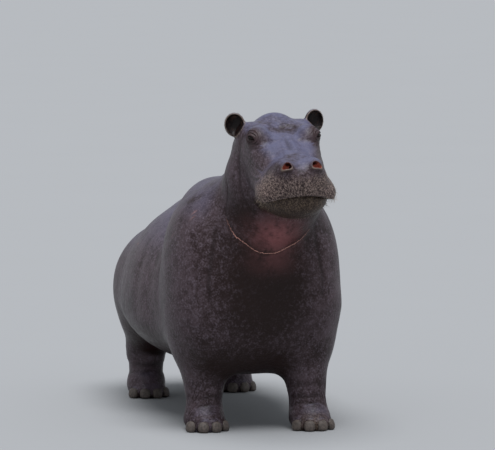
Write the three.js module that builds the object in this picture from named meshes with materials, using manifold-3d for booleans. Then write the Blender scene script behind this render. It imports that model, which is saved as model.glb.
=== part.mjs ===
// A common hippopotamus at life size, standing on all four feet with its head raised.
// Millimetres, +Z up, the floor at Z = 0. It faces -Y and its right side is at -X.
import * as THREE from 'three';
import { LoftGeometry } from 'three/addons/geometries/LoftGeometry.js';
import { mergeVertices } from 'three/addons/utils/BufferGeometryUtils.js';
import Module from 'manifold-3d';

// Driving sizes of the whole animal. The layout height is a hundred body units, about as high as the withers.
const layoutHeight = 1330;
const headLength = 750;
const partGap = 0.5;
const soleRelief = 3;

const bodyUnit = layoutHeight / 100;
const headUnit = headLength / 100;

// Where the point between the eyes stands, and how the head is carried there, in degrees.
const headCarriage = { eyes: [2.7, -78, 119], yaw: -1.5, pitch: 14, roll: 2 };

// Soft masses of the head. Each is centred at side, forward, up from the point between the eyes.
const cranium = { at: [0, -14, -16], size: [26, 22, 17] };
const nape = { at: [0, -29, -15], size: [29.5, 18, 17], melt: 8 };
const poll = { at: [0, -28, -5], size: [15, 14, 14], melt: 9 };
const forehead = { at: [0, -5, -9.5], size: [16, 20, 12.5], melt: 6 };
const temple = { at: [12.5, -15, -4], size: [12, 9, 10], melt: 7 };
const earBase = { at: [19.5, -23, -5], size: [9, 9, 10], melt: 6 };
const cheek = { at: [16.5, -15, -19], size: [12.8, 17, 19], melt: 6 };
const snout = { at: [0, 20, -17], size: [14, 36, 15.5], power: 2.2, melt: 8 };
const belowEye = { at: [18, 0, -13], size: [8, 13, 12], melt: 7 };
const cheekbone = { at: [13, 10, -12], size: [9.5, 18, 10.5], melt: 9 };
const sideLip = { at: [15.5, 19, -26], size: [11, 28, 13.5], melt: 8 };
const muzzle = { at: [0, 42, -16], size: [20.5, 16.5, 14], power: 2.3, melt: 6 };
const lipFlare = { at: [0, 39.5, -28], size: [27.8, 17, 10.5], power: 2.2, melt: 9 };
const nostrilMound = { at: [10, 47, -6], size: [6, 8, 5.5], melt: 5 };
const orbit = { at: [17.6, -1.5, 0.2], size: [8.3, 10.5, 8.4], melt: 6 };
const upperHead = [
  cranium, nape, poll, forehead, temple, earBase, cheek, snout, belowEye, cheekbone, sideLip, muzzle,
  lipFlare, nostrilMound, orbit,
];

const chin = { at: [0, 31.5, -31], size: [24, 23, 16], power: 2.15 };
const jawBody = { at: [0, 8, -37], size: [23, 27, 14], power: 2.2, melt: 7 };
const lowerJaw = [chin, jawBody];

const throat = { at: [0, -14, -48], size: [31, 25, 38] };
const jowl = { at: [21, -22, -40], size: [15.5, 19, 29], melt: 8 };
const collarMelt = 5;

// The mouth line drops towards the cheeks and again behind the muzzle.
const mouthLine = { front: -24.4, sideDrop: 0.013, bendAt: 22, rearDrop: 0.012, lipRound: 2 };

// Masses of the neck and trunk: side, back, up from the floor point below the barrel.
const neckBar = { from: [0, -36, 71], to: [2, -58, 97], radii: [26.5, 18.5] };
const neckCrest = { from: [1, -38, 88], to: [2.5, -60, 109], radii: [11.5, 10.5], melt: 6 };
const barrel = { at: [0, 16, 43], size: [39, 65, 45], below: 22.5, tilt: 4 };
const chest = { at: [0, -35, 61], size: [33.8, 29, 40.2], power: 2.6, melt: 12 };
const shoulder = { at: [19.5, -40, 55], size: [15.5, 22, 36], melt: 8 };
const croup = { at: [0, 62, 50], size: [28, 26, 25], melt: 10 };
const haunch = { at: [17, 61, 44], size: [15.5, 23, 23], melt: 10 };
const spine = { at: [0, 14, 60], size: [18, 66, 32], melt: 6 };
const withers = { at: [11, -20, 77], size: [14, 26, 22], melt: 6 };
const trunkMasses = [barrel, chest, shoulder, croup, haunch, spine, withers];

// One foreleg and one hind leg, on the left side.
const foreBars = [
  { from: [19.5, -42, 48], to: [20, -41.5, 34], radii: [14, 11] },
  { from: [20, -42, 34], to: [20.5, -46, 12], radii: [10.8, 7.6], melt: 4 },
];
const hindBars = [
  { from: [17, 61, 42], to: [18, 59, 35], radii: [13.5, 12.5] },
  { from: [18, 59, 36], to: [19.5, 67, 20], radii: [12, 8], melt: 4 },
  { from: [19.5, 67, 20], to: [20, 64, 9], radii: [7.8, 7.4], melt: 4 },
];
const foreFoot = { at: [21, -48, 4.5], size: [8.6, 9.2, 6.5], melt: 4 };
const hindFoot = { at: [20.5, 62, 4.5], size: [8.4, 8.8, 6.5], melt: 4 };
const toe = { reach: [6.2, 6.9], height: 2.4, size: [3.3, 3.9, 3.6], melt: 1.6 };
const toeAngles = [-51, -17, 17, 51];

// How far each foot stands ahead (-) or behind (+) the square stance.
const legs = [
  { name: 'leg_front_left', side: 1, stride: -4, front: true },
  { name: 'leg_front_right', side: -1, stride: 3, front: true },
  { name: 'leg_hind_left', side: 1, stride: 5, front: false },
  { name: 'leg_hind_right', side: -1, stride: -4, front: false },
];

const tailBars = [
  { from: [0, 82, 64], to: [0, 89.5, 53], radii: [5.0, 3.2] },
  { from: [0, 89.5, 53], to: [0, 91.5, 37], radii: [3.2, 2.0], melt: 2 },
];

// Ears, eyes and nostrils, again from the point between the eyes.
const ear = {
  at: [28.5, -27, 2.2], cup: [7.4, 3.6, 8.6], hollow: [6.3, 4.6, 7.5], hollowShift: [0, 2.9, 0.2],
  turn: 14, lean: 10, tip: -12, stalkFrom: [19, -28, -6], cupFoot: [-2.5, 1.2, -4.5], stalkRadii: [4.2, 3.4],
};
const eye = { at: [22.4, 2.2, 1.8], radius: 3.1 };
const nostril = { at: [10.1, 52.4, -3.9], size: [3.2, 3.6, 2.7], outward: 16, upward: 42 };

const hoof = { size: [2.25, 1.35, 2.3], reach: 2.75, height: 2.1, lean: 16 };

const colours = {
  hide: 0x5c4f56, belly: 0x6b5257, inner: 0x4a3335, eye: 0x1d1512, hoof: 0x3b342f,
};

const wasm = await Module();
wasm.setup();

const radians = THREE.MathUtils.degToRad;

// Distance from a point to an ellipsoid, or to a squarer one when power is above 2.
function blob(point, mass) {
  const { at, size, below = size[2], tilt = 0, power = 2 } = mass;
  const x = Math.abs(point[0] - at[0]);
  let y = point[1] - at[1];
  let z = point[2] - at[2];
  if (tilt) {
    const cos = Math.cos(radians(tilt));
    const sin = Math.sin(radians(tilt));
    [y, z] = [cos * y + sin * z, cos * z - sin * y];
  }
  if (z < 0) z *= size[2] / below;
  const scaled = [x / size[0], Math.abs(y) / size[1], Math.abs(z) / size[2]];
  let sum = 0;
  let slope = 0;
  for (let i = 0; i < 3; i += 1) {
    sum += scaled[i] ** power;
    slope += (scaled[i] ** (power - 1) / size[i]) ** 2;
  }
  const reach = sum ** (1 / power) + 1e-9;
  return (reach - 1) / (Math.sqrt(slope) * reach ** (1 - power) + 1e-9);
}

// Distance from a point to a round bar that tapers from one radius to the other.
function bar(point, { from, to, radii }) {
  const axis = to.map((value, i) => value - from[i]);
  const offset = point.map((value, i) => value - from[i]);
  const length = axis.reduce((sum, value) => sum + value * value, 0);
  const dot = axis.reduce((sum, value, i) => sum + value * offset[i], 0);
  const along = THREE.MathUtils.clamp(dot / length, 0, 1);
  const miss = Math.hypot(...offset.map((value, i) => value - along * axis[i]));
  return miss - radii[0] - (radii[1] - radii[0]) * along;
}

// The smaller of two distances, melted together over the given width.
function melted(a, b, width) {
  const share = THREE.MathUtils.clamp(0.5 + (0.5 * (b - a)) / width, 0, 1);
  return b + (a - b) * share - width * share * (1 - share);
}

function meltAll(point, masses, distance) {
  let total = distance(point, masses[0]);
  for (const mass of masses.slice(1)) total = melted(total, distance(point, mass), mass.melt);
  return total;
}

const headTurn = new THREE.Matrix4()
  .makeTranslation(...headCarriage.eyes.map((value) => value * bodyUnit))
  .multiply(new THREE.Matrix4().makeRotationZ(radians(headCarriage.yaw)))
  .multiply(new THREE.Matrix4().makeRotationX(radians(headCarriage.pitch)))
  .multiply(new THREE.Matrix4().makeRotationY(radians(-headCarriage.roll)));
const headBack = headTurn.clone().invert();

// Side, forward and up of a point in the head's own units, both sides alike.
function inHead(x, y, z) {
  const local = new THREE.Vector3(x, y, z).applyMatrix4(headBack).divideScalar(headUnit);
  return [Math.abs(local.x), -local.y, local.z];
}

function fromHead(side, forward, up) {
  return new THREE.Vector3(side, -forward, up).multiplyScalar(headUnit).applyMatrix4(headTurn);
}

function mouthHeight([side, forward]) {
  const rear = Math.max(0, mouthLine.bendAt - forward);
  return mouthLine.front - mouthLine.sideDrop * side * side - mouthLine.rearDrop * rear * rear;
}

function upperHeadField(x, y, z) {
  const point = inHead(x, y, z);
  const mass = meltAll(point, upperHead, blob);
  const aboveMouth = point[2] - mouthHeight(point);
  return -melted(-mass, aboveMouth, mouthLine.lipRound) * headUnit;
}

function lowerJawField(x, y, z) {
  const point = inHead(x, y, z);
  const mass = meltAll(point, lowerJaw, blob);
  const belowMouth = mouthHeight(point) - point[2];
  return -melted(-mass, belowMouth, mouthLine.lipRound) * headUnit;
}

const toBody = (x, y, z, side = 1) => [(x * side) / bodyUnit, y / bodyUnit, z / bodyUnit];
const mirrored = ([x, y, z]) => [Math.abs(x), y, z];

function neckField(x, y, z) {
  const point = inHead(x, y, z);
  const collar = melted(blob(point, throat), blob(point, jowl), jowl.melt) * headUnit;
  const spot = toBody(x, y, z);
  const neck = melted(bar(spot, neckBar), bar(spot, neckCrest), neckCrest.melt) * bodyUnit;
  return melted(collar, neck, collarMelt * headUnit);
}

function trunkField(x, y, z) {
  return meltAll(mirrored(toBody(x, y, z)), trunkMasses, blob) * bodyUnit;
}

function legFieldOf({ side, stride, front }) {
  const bars = front ? foreBars : hindBars;
  const foot = front ? foreFoot : hindFoot;
  return (x, y, z) => {
    const point = toBody(x, y, z, side);
    point[1] -= stride;
    let total = meltAll(point, bars, bar);
    total = melted(total, blob(point, foot), foot.melt);
    for (const angle of toeAngles) {
      total = melted(total, blob(point, { at: toeCentre(foot, angle), size: toe.size }), toe.melt);
    }
    return total * bodyUnit;
  };
}

function toeCentre(foot, angle) {
  const across = toe.reach[0] * Math.sin(radians(angle));
  const ahead = toe.reach[1] * Math.cos(radians(angle));
  return [foot.at[0] + across, foot.at[1] - ahead, toe.height];
}

const tailField = (x, y, z) => meltAll(toBody(x, y, z), tailBars, bar) * bodyUnit;

// How finely a surface is looked for along a ray, and how close to its two ends a wrap's rings start.
const stepCount = 48;
const halvings = 24;
const endInset = 0.0015;
const weldDistance = 1e-3;

// How far out from a centre, along a direction, the outermost surface of a field lies.
function surfaceReach(field, centre, direction, limit, grow) {
  const at = (reach) => field(
    centre.x + direction.x * reach, centre.y + direction.y * reach, centre.z + direction.z * reach,
  ) - grow;
  let outside = limit;
  let inside = null;
  for (let i = stepCount - 1; i >= 0; i -= 1) {
    const reach = (limit * i) / stepCount;
    if (at(reach) < 0) {
      inside = reach;
      break;
    }
    outside = reach;
  }
  if (inside === null) return 0;
  for (let i = 0; i < halvings; i += 1) {
    const middle = (inside + outside) / 2;
    if (at(middle) < 0) inside = middle;
    else outside = middle;
  }
  return (inside + outside) / 2;
}

// Wraps a field in rings along a path. Rings crowd towards the two rounded ends.
function wrapped(field, { path, limit, rings, sides, crowd = 1 }, grow = 0) {
  const [start, end] = [path[0], path[path.length - 1]];
  const axis = end.clone().sub(start).normalize();
  const across = Math.abs(axis.x) > 0.9 ? new THREE.Vector3(0, 1, 0) : new THREE.Vector3(1, 0, 0);
  const second = new THREE.Vector3().crossVectors(axis, across).normalize();
  const first = new THREE.Vector3().crossVectors(second, axis).normalize();
  const run = end.clone().sub(start).dot(axis);
  const centreAt = (along) => {
    for (let i = 1; i < path.length; i += 1) {
      const from = path[i - 1].clone().sub(start).dot(axis);
      const to = path[i].clone().sub(start).dot(axis);
      if (along <= to || i === path.length - 1) {
        return path[i - 1].clone().lerp(path[i], (along - from) / (to - from));
      }
    }
    return end;
  };
  const low = -surfaceReach(field, start, axis.clone().negate(), limit, grow);
  const high = run + surfaceReach(field, end, axis, limit, grow);
  const sections = [];
  for (let i = 0; i <= rings; i += 1) {
    const even = i / rings;
    const eased = (1 - Math.cos(Math.PI * even)) / 2;
    const share = THREE.MathUtils.lerp(even, eased, crowd);
    const inset = THREE.MathUtils.clamp(share, endInset, 1 - endInset);
    const centre = centreAt(low + (high - low) * inset);
    const section = [];
    for (let j = 0; j < sides; j += 1) {
      const angle = (2 * Math.PI * j) / sides;
      const ray = first.clone().multiplyScalar(Math.cos(angle)).addScaledVector(second, Math.sin(angle));
      const reach = Math.max(surfaceReach(field, centre, ray, limit, grow), 1);
      section.push(centre.clone().addScaledVector(ray, reach));
    }
    sections.push(section);
  }
  return solid(new LoftGeometry(sections, { closed: true, capStart: true, capEnd: true }));
}

// A closed body for joining and cutting, turned outward if its faces point in.
function solid(geometry) {
  const bare = new THREE.BufferGeometry();
  bare.setAttribute('position', geometry.getAttribute('position'));
  bare.setIndex(geometry.getIndex());
  const welded = mergeVertices(bare, weldDistance);
  const index = Uint32Array.from(welded.index.array);
  const positions = Float32Array.from(welded.attributes.position.array);
  let volume = 0;
  for (let i = 0; i < index.length; i += 3) {
    const [a, b, c] = [0, 1, 2].map((k) => new THREE.Vector3().fromArray(positions, index[i + k] * 3));
    volume += a.dot(b.cross(c));
  }
  if (volume < 0) {
    for (let i = 0; i < index.length; i += 3) [index[i], index[i + 1]] = [index[i + 1], index[i]];
  }
  return new wasm.Manifold(new wasm.Mesh({ numProp: 3, vertProperties: positions, triVerts: index }));
}

const largest = (body) => body.decompose().reduce((a, b) => (a.volume() > b.volume() ? a : b));

function ball(sizes, matrix, columns = 16, rows = 10) {
  const geometry = new THREE.SphereGeometry(1, columns, rows);
  geometry.scale(...sizes);
  geometry.applyMatrix4(matrix);
  return solid(geometry);
}

function placed(side, at, turns) {
  const spot = headTurn.clone().multiply(
    new THREE.Matrix4().makeTranslation(side * at[0] * headUnit, -at[1] * headUnit, at[2] * headUnit),
  );
  const euler = new THREE.Euler(...turns.map(radians), 'ZXY');
  return spot.multiply(new THREE.Matrix4().makeRotationFromEuler(euler));
}

// A round cup on a short stalk, its mouth forward and a little outward.
function earSolid(side) {
  const frame = placed(side, ear.at, [ear.tip, side * ear.lean, side * ear.turn]);
  const scaled = (sizes) => sizes.map((value) => value * headUnit);
  const outer = ball(scaled(ear.cup), frame, 14, 8);
  const shift = new THREE.Matrix4().makeTranslation(
    ear.hollowShift[0] * side * headUnit, -ear.hollowShift[1] * headUnit, ear.hollowShift[2] * headUnit,
  );
  const hollow = ball(scaled(ear.hollow), frame.clone().multiply(shift), 14, 8);
  const root = fromHead(side * ear.stalkFrom[0], ear.stalkFrom[1], ear.stalkFrom[2]);
  const [inward, back, down] = ear.cupFoot;
  const cupFoot = new THREE.Vector3(side * inward, back, down).multiplyScalar(headUnit).applyMatrix4(frame);
  const length = root.distanceTo(cupFoot);
  const stalk = new THREE.CylinderGeometry(
    ear.stalkRadii[1] * headUnit, ear.stalkRadii[0] * headUnit, length, 10, 1,
  );
  const up = new THREE.Quaternion().setFromUnitVectors(
    new THREE.Vector3(0, 1, 0), cupFoot.clone().sub(root).normalize(),
  );
  stalk.applyQuaternion(up);
  const middle = root.clone().add(cupFoot).multiplyScalar(0.5);
  stalk.translate(middle.x, middle.y, middle.z);
  return largest(outer.add(solid(stalk)).subtract(hollow));
}

function nostrilSolid(side) {
  const frame = placed(side, nostril.at, [-nostril.upward, 0, side * nostril.outward]);
  return ball(nostril.size.map((value) => value * headUnit), frame, 10, 6);
}

// The raised ring of flesh round the eye.
function browSolid(side, grow = 0) {
  const sizes = orbit.size.map((value) => value * headUnit + grow);
  return ball(sizes, placed(side, orbit.at, [0, 0, 0]), 14, 7);
}

function eyeSolid(side, grow = 0) {
  const radius = eye.radius * headUnit + grow;
  return ball([radius, radius, radius], placed(side, eye.at, [0, 0, 0]), 12, 7);
}

function hoofSolid(leg, angle, grow = 0) {
  const foot = leg.front ? foreFoot : hindFoot;
  const [across, back] = toeCentre(foot, angle);
  const x = across + Math.sin(radians(angle)) * hoof.reach;
  const y = back - Math.cos(radians(angle)) * hoof.reach;
  const matrix = new THREE.Matrix4()
    .makeTranslation(leg.side * x * bodyUnit, (y + leg.stride) * bodyUnit, hoof.height * bodyUnit)
    .multiply(new THREE.Matrix4().makeRotationZ(radians(leg.side * angle)))
    .multiply(new THREE.Matrix4().makeRotationX(radians(-hoof.lean)));
  return ball(hoof.size.map((value) => value * bodyUnit + grow), matrix, 8, 4);
}

const floorSlab = { width: 6000, depth: 400 };

// Everything below this plane is cut away, which leaves the flat soles.
function belowFloor(level) {
  const { width, depth } = floorSlab;
  const slab = new THREE.BoxGeometry(width, width, depth);
  slab.translate(0, 0, level - depth / 2);
  return solid(slab);
}

const headWrap = {
  path: [fromHead(0, -20, -14), fromHead(0, 30, -18), fromHead(0, 46, -17)],
  limit: 330, rings: 29, sides: 29, crowd: 0.45,
};
const jawWrap = {
  path: [fromHead(0, 0, -40), fromHead(0, 42, -35)], limit: 320, rings: 10, sides: 16, crowd: 0.8,
};
const neckWrap = {
  path: [new THREE.Vector3(0, -480, 930), fromHead(0, -14, -42)], limit: 560, rings: 10, sides: 22,
};
const trunkWrap = {
  path: [[0, -560, 850], [0, 150, 780], [0, 700, 740]].map((spot) => new THREE.Vector3(...spot)),
  limit: 760, rings: 18, sides: 26, crowd: 0.8,
};
const tailWrap = {
  path: [[0, 82, 63], [0, 89.5, 53], [0, 91.3, 39]].map(
    (spot) => new THREE.Vector3(...spot).multiplyScalar(bodyUnit)),
  limit: 160, rings: 6, sides: 7, crowd: 0.6,
};

function legWrap({ side, stride, front }) {
  const knots = front
    ? [[20.5, -47.5, 3], [20.5, -46, 12], [20, -42, 34], [19.5, -42, 50]]
    : [[20, 63, 3], [20, 64.5, 10], [19.5, 67, 20], [18, 59, 36], [17, 61, 44]];
  const path = knots.map(([x, y, z]) => new THREE.Vector3(x * side, y + stride, z).multiplyScalar(bodyUnit));
  return { path, limit: 330, rings: 8, sides: 18, crowd: 0.45 };
}

const parts = [];

function add(name, body, colour, roughness = 0.7) {
  parts.push({ name, body, colour, roughness });
}

function meshOf({ name, body, colour, roughness }) {
  const { vertProperties, triVerts } = body.getMesh();
  const geometry = new THREE.BufferGeometry();
  geometry.setAttribute('position', new THREE.BufferAttribute(Float32Array.from(vertProperties), 3));
  geometry.setIndex(new THREE.BufferAttribute(Uint32Array.from(triVerts), 1));
  geometry.computeVertexNormals();
  const material = new THREE.MeshStandardMaterial({ color: colour, roughness, metalness: 0 });
  const mesh = new THREE.Mesh(geometry, material);
  mesh.name = name;
  return mesh;
}

const trunk = wrapped(trunkField, trunkWrap);
const trunkGrown = wrapped(trunkField, trunkWrap, partGap);
const neckGrown = wrapped(neckField, neckWrap, partGap);
const neck = largest(wrapped(neckField, neckWrap).subtract(trunkGrown));
const bodyGrown = neckGrown.add(trunkGrown);
const jaw = largest(wrapped(lowerJawField, jawWrap).subtract(bodyGrown));
const jawGrown = wrapped(lowerJawField, jawWrap, partGap);
let upper = wrapped(upperHeadField, headWrap);
let upperGrown = wrapped(upperHeadField, headWrap, partGap);
for (const side of [1, -1]) {
  upper = upper.add(browSolid(side));
  upperGrown = upperGrown.add(browSolid(side, partGap));
}

let head = upper.subtract(bodyGrown).subtract(jawGrown);
for (const side of [1, -1]) {
  const word = side > 0 ? 'left' : 'right';
  head = head.subtract(eyeSolid(side, partGap)).subtract(nostrilSolid(side));
  add(`ear_${word}`, largest(earSolid(side).subtract(upperGrown)), colours.inner);
  add(`eye_${word}`, eyeSolid(side), colours.eye, 0.15);
}
add('head', largest(head), colours.hide);
add('lower_jaw', jaw, colours.belly);
add('neck', neck, colours.hide);
add('trunk', trunk, colours.hide);

const floorCut = belowFloor(0);
for (const leg of legs) {
  let body = wrapped(legFieldOf(leg), legWrap(leg)).subtract(floorCut).subtract(trunkGrown);
  body = largest(body);
  toeAngles.forEach((angle, i) => {
    body = body.subtract(hoofSolid(leg, angle, partGap));
    const nail = hoofSolid(leg, angle).subtract(belowFloor(soleRelief));
    add(`hoof_${leg.name.slice(4)}_${i + 1}`, nail, colours.hoof, 0.55);
  });
  add(leg.name, largest(body), colours.hide);
}
add('tail', largest(wrapped(tailField, tailWrap).subtract(trunkGrown)), colours.hide);

// The origin is put on the floor under the middle of the whole animal.
const hippopotamus = new THREE.Group();
hippopotamus.name = 'hippopotamus';
const meshes = parts.map(meshOf);
const extent = new THREE.Box3();
for (const mesh of meshes) extent.expandByObject(mesh);
const middle = extent.getCenter(new THREE.Vector3());
for (const mesh of meshes) {
  mesh.geometry.translate(-middle.x, -middle.y, 0);
  hippopotamus.add(mesh);
}

export default hippopotamus;
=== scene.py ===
import math
import bmesh
import bpy
import numpy as np
from mathutils import Matrix, Vector


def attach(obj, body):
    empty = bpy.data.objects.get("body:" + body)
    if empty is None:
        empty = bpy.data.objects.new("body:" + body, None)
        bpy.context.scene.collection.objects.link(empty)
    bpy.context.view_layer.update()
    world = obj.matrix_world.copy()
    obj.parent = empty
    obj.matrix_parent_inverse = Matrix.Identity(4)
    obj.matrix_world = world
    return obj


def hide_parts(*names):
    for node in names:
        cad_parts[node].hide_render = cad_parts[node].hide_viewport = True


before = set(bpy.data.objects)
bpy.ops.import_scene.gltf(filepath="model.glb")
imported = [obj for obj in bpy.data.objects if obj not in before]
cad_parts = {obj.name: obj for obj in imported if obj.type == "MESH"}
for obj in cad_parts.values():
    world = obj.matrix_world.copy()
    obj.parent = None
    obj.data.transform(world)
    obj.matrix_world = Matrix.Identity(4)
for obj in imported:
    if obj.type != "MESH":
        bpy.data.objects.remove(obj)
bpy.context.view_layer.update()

bodyUnit = 0.0133  # metres: about a hundredth of the height at the withers
headUnit = 0.0075  # metres: about a hundredth of the head's length
standShift = 0.0988  # metres the layout is moved back, to bring the middle of its length over the origin

# The point between the eyes, in body units, and the head's turn about it, in degrees.
headCarriage = {"eyes": (2.7, -78, 119), "yaw": -1.5, "pitch": 14, "roll": 2}

# Masses of the head: side, forward and up from the point between the eyes, in head units.
headMasses = [
    {"at": (0, -14, -16), "size": (26, 22, 17)},  # cranium
    {"at": (0, -29, -15), "size": (29.5, 18, 17), "melt": 8},  # nape
    {"at": (0, -28, -5), "size": (15, 14, 14), "melt": 9},  # poll
    {"at": (0, -5, -9.5), "size": (16, 20, 12.5), "melt": 6},  # forehead
    {"at": (12.5, -15, -4), "size": (12, 9, 10), "melt": 7},  # temple behind the brow
    {"at": (19.5, -23, -5), "size": (9, 9, 10), "melt": 6},  # base of the ear
    {"at": (16.5, -15, -19), "size": (12.8, 17, 19), "melt": 6},  # cheek
    {"at": (0, 20, -17), "size": (14, 36, 15.5), "power": 2.2, "melt": 8},  # snout
    {"at": (18, 0, -13), "size": (8, 13, 12), "melt": 7},  # below the eye
    {"at": (13, 10, -12), "size": (9.5, 18, 10.5), "melt": 9},  # cheekbone
    {"at": (15.5, 19, -26), "size": (11, 28, 13.5), "melt": 8},  # upper lip along the side
    {"at": (0, 42, -16), "size": (20.5, 16.5, 14), "power": 2.3, "melt": 6},  # muzzle
    {"at": (0, 39.5, -28), "size": (27.8, 17, 10.5), "power": 2.2, "melt": 9},  # flare of the lips
    {"at": (10, 47, -6), "size": (6, 8, 5.5), "melt": 5},  # nostril mound
    {"at": (17.6, -1.5, 0.2), "size": (8.3, 10.5, 8.4), "melt": 6},  # orbit
]
jawMasses = [
    {"at": (0, 31.5, -31), "size": (24, 23, 16), "power": 2.15},  # chin
    {"at": (0, 8, -37), "size": (23, 27, 14), "power": 2.2, "melt": 7},  # jaw
]
throatMasses = [
    {"at": (0, -14, -48), "size": (31, 25, 38)},  # throat
    {"at": (21, -22, -40), "size": (15.5, 19, 29), "melt": 8},  # jowl
]
mouth = {"front": -24.4, "sideDrop": 0.013, "bendAt": 22, "rearDrop": 0.012, "corner": (2, 12),
         "lipRound": 1.6, "slitDepth": 0.9, "slitWidth": 0.6, "jawMelt": 0.5, "throatMelt": 5}

# Masses of the trunk and legs: side, back and up from the floor below the barrel, in body units.
trunkMasses = [
    {"at": (0, 16, 43), "size": (39, 65, 45), "below": 22.5, "tilt": 4},  # barrel
    {"at": (0, -35, 61), "size": (33.8, 29, 40.2), "power": 2.6, "melt": 12},  # chest
    {"at": (19.5, -40, 55), "size": (15.5, 22, 36), "melt": 8},  # shoulder
    {"at": (0, 62, 50), "size": (28, 26, 25), "melt": 10},  # croup
    {"at": (17, 61, 44), "size": (15.5, 23, 23), "melt": 10},  # haunch
    {"at": (0, 14, 60), "size": (18, 66, 32), "melt": 6},  # spine
    {"at": (11, -20, 77), "size": (14, 26, 22), "melt": 6},  # withers
]
neckBar = {"a": (0, -36, 71), "b": (2, -58, 97), "radii": (26.5, 18.5)}
neckCrest = {"a": (1, -38, 88), "b": (2.5, -60, 109), "radii": (11.5, 10.5), "melt": 6}
foreLeg = {
    "bars": [
        {"a": (19.5, -42, 48), "b": (20, -41.5, 34), "radii": (14, 11)},
        {"a": (20, -42, 34), "b": (20.5, -46, 12), "radii": (10.8, 7.6), "melt": 4},
    ],
    "foot": {"at": (21, -48, 4.5), "size": (8.6, 9.2, 6.5)},
}
hindLeg = {
    "bars": [
        {"a": (17, 61, 42), "b": (18, 59, 35), "radii": (13.5, 12.5)},
        {"a": (18, 59, 36), "b": (19.5, 67, 20), "radii": (12, 8), "melt": 4},
        {"a": (19.5, 67, 20), "b": (20, 64, 9), "radii": (7.8, 7.4), "melt": 4},
    ],
    "foot": {"at": (20.5, 62, 4.5), "size": (8.4, 8.8, 6.5)},
}
legs = {
    "front_left": {"side": 1, "stride": -4, "kind": foreLeg},
    "front_right": {"side": -1, "stride": 3, "kind": foreLeg},
    "hind_left": {"side": 1, "stride": 5, "kind": hindLeg},
    "hind_right": {"side": -1, "stride": -4, "kind": hindLeg},
}
toe = {"across": 6.2, "ahead": 6.9, "height": 2.4, "size": (3.3, 3.9, 3.6), "melt": 1.1,
       "angles": (-51, -17, 17, 51)}
tailBars = [
    {"a": (0, 82, 64), "b": (0, 89.5, 53), "radii": (5.0, 3.2)},
    {"a": (0, 89.5, 53), "b": (0, 91.5, 37), "radii": (3.2, 2.0), "melt": 2},
]
ear = {
    "at": (28.5, -27, 2.2), "cup": (7.3, 3.6, 8.5), "hollow": (6.4, 4.6, 7.6), "ahead": 2.9, "up": 0.2,
    "turn": 14, "lean": 10, "tip": -12, "root": (19, -28, -6), "cupFoot": (2.5, 1.2, -4.5), "stalk": (4.6, 3.5),
    "rim": 0.5, "stalkMelt": 1.6, "headMelt": 2.0,
}
eye = {
    "at": (22.4, 2.2, 1.8), "radius": 3.1, "lid": 0.7, "socket": 0.35, "outward": 46, "upward": 8, "slant": 9,
    "opening": (3.3, 1.35), "droop": 0.05, "cutDepth": 1.7, "lidEdge": 0.35, "foldGap": 1.9, "foldDepth": 0.34,
    "foldReach": (4.0, 9.0), "foldSquash": 1.35,
}
nostril = {"at": (10.1, 52.4, -3.9), "size": (3.2, 3.6, 2.7), "outward": 16, "upward": 42, "bend": 0.10,
           "rim": 0.8, "rimAt": 0.6, "rimWidth": 0.9, "edge": 0.4}


def columns(spots):
    return tuple(spots[:, i] for i in range(3))


def squareGap(p, at):
    # the square of the distance from a place
    return sum((p[i] - at[i]) ** 2 for i in range(3))


def turned(degrees, axis):
    return Matrix.Rotation(math.radians(degrees), 4, axis)


def blob(p, at, size, below=None, tilt=0, power=2.0, melt=0):
    # first-order distance to an ellipsoid, squarer where power is above 2
    x, y, z = np.abs(p[0] - at[0]), p[1] - at[1], p[2] - at[2]
    if tilt:
        c, s = math.cos(math.radians(tilt)), math.sin(math.radians(tilt))
        y, z = c * y + s * z, c * z - s * y
    if below:
        z = np.where(z < 0, z * (size[2] / below), z)
    shares = x / size[0], np.abs(y) / size[1], np.abs(z) / size[2]
    k = sum(share ** power for share in shares) ** (1 / power) + 1e-9
    slope = np.sqrt(sum((share ** (power - 1) / r) ** 2 for share, r in zip(shares, size))) * k ** (1 - power)
    return (k - 1) / (slope + 1e-9)


def bar(p, a, b, radii, melt=0):
    # distance to a round bar that tapers from one radius to the other
    along = [b[i] - a[i] for i in range(3)]
    off = [p[i] - a[i] for i in range(3)]
    t = np.clip(sum(off[i] * along[i] for i in range(3)) / sum(v * v for v in along), 0, 1)
    reach = radii[0] + (radii[1] - radii[0]) * t
    return np.sqrt(sum((off[i] - t * along[i]) ** 2 for i in range(3))) - reach


def melted(a, b, width):
    # two shapes joined with a soft fillet
    share = np.clip(0.5 + 0.5 * (b - a) / width, 0, 1)
    return b + (a - b) * share - width * share * (1 - share)


def carved(a, b, width):
    # what two shapes have in common, its edge softened
    return -melted(-a, -b, width)


def meltAll(p, masses, shape):
    total = shape(p, **masses[0])
    for mass in masses[1:]:
        total = melted(total, shape(p, **mass), mass["melt"])
    return total


def ramp(v, low, high):
    # 0 below low and 1 above high, smooth between
    t = np.clip((v - low) / (high - low), 0, 1)
    return t * t * (3 - 2 * t)


headTurn = (
    Matrix.Translation((0, standShift, 0))
    @ Matrix.Translation([v * bodyUnit for v in headCarriage["eyes"]])
    @ turned(headCarriage["yaw"], "Z")
    @ turned(headCarriage["pitch"], "X")
    @ turned(-headCarriage["roll"], "Y")
)
headBack = headTurn.inverted()


def through(m, p):
    return tuple(m[i][0] * p[0] + m[i][1] * p[1] + m[i][2] * p[2] + m[i][3] for i in range(3))


def toHead(p):
    # side, forward and up from the point between the eyes, in head units
    x, y, z = through(headBack, p)
    return x / headUnit, -y / headUnit, z / headUnit


def fromHead(side, forward, up):
    return headTurn @ Vector((side * headUnit, -forward * headUnit, up * headUnit))


def toBody(p):
    return p[0] / bodyUnit, (p[1] - standShift) / bodyUnit, p[2] / bodyUnit


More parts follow.
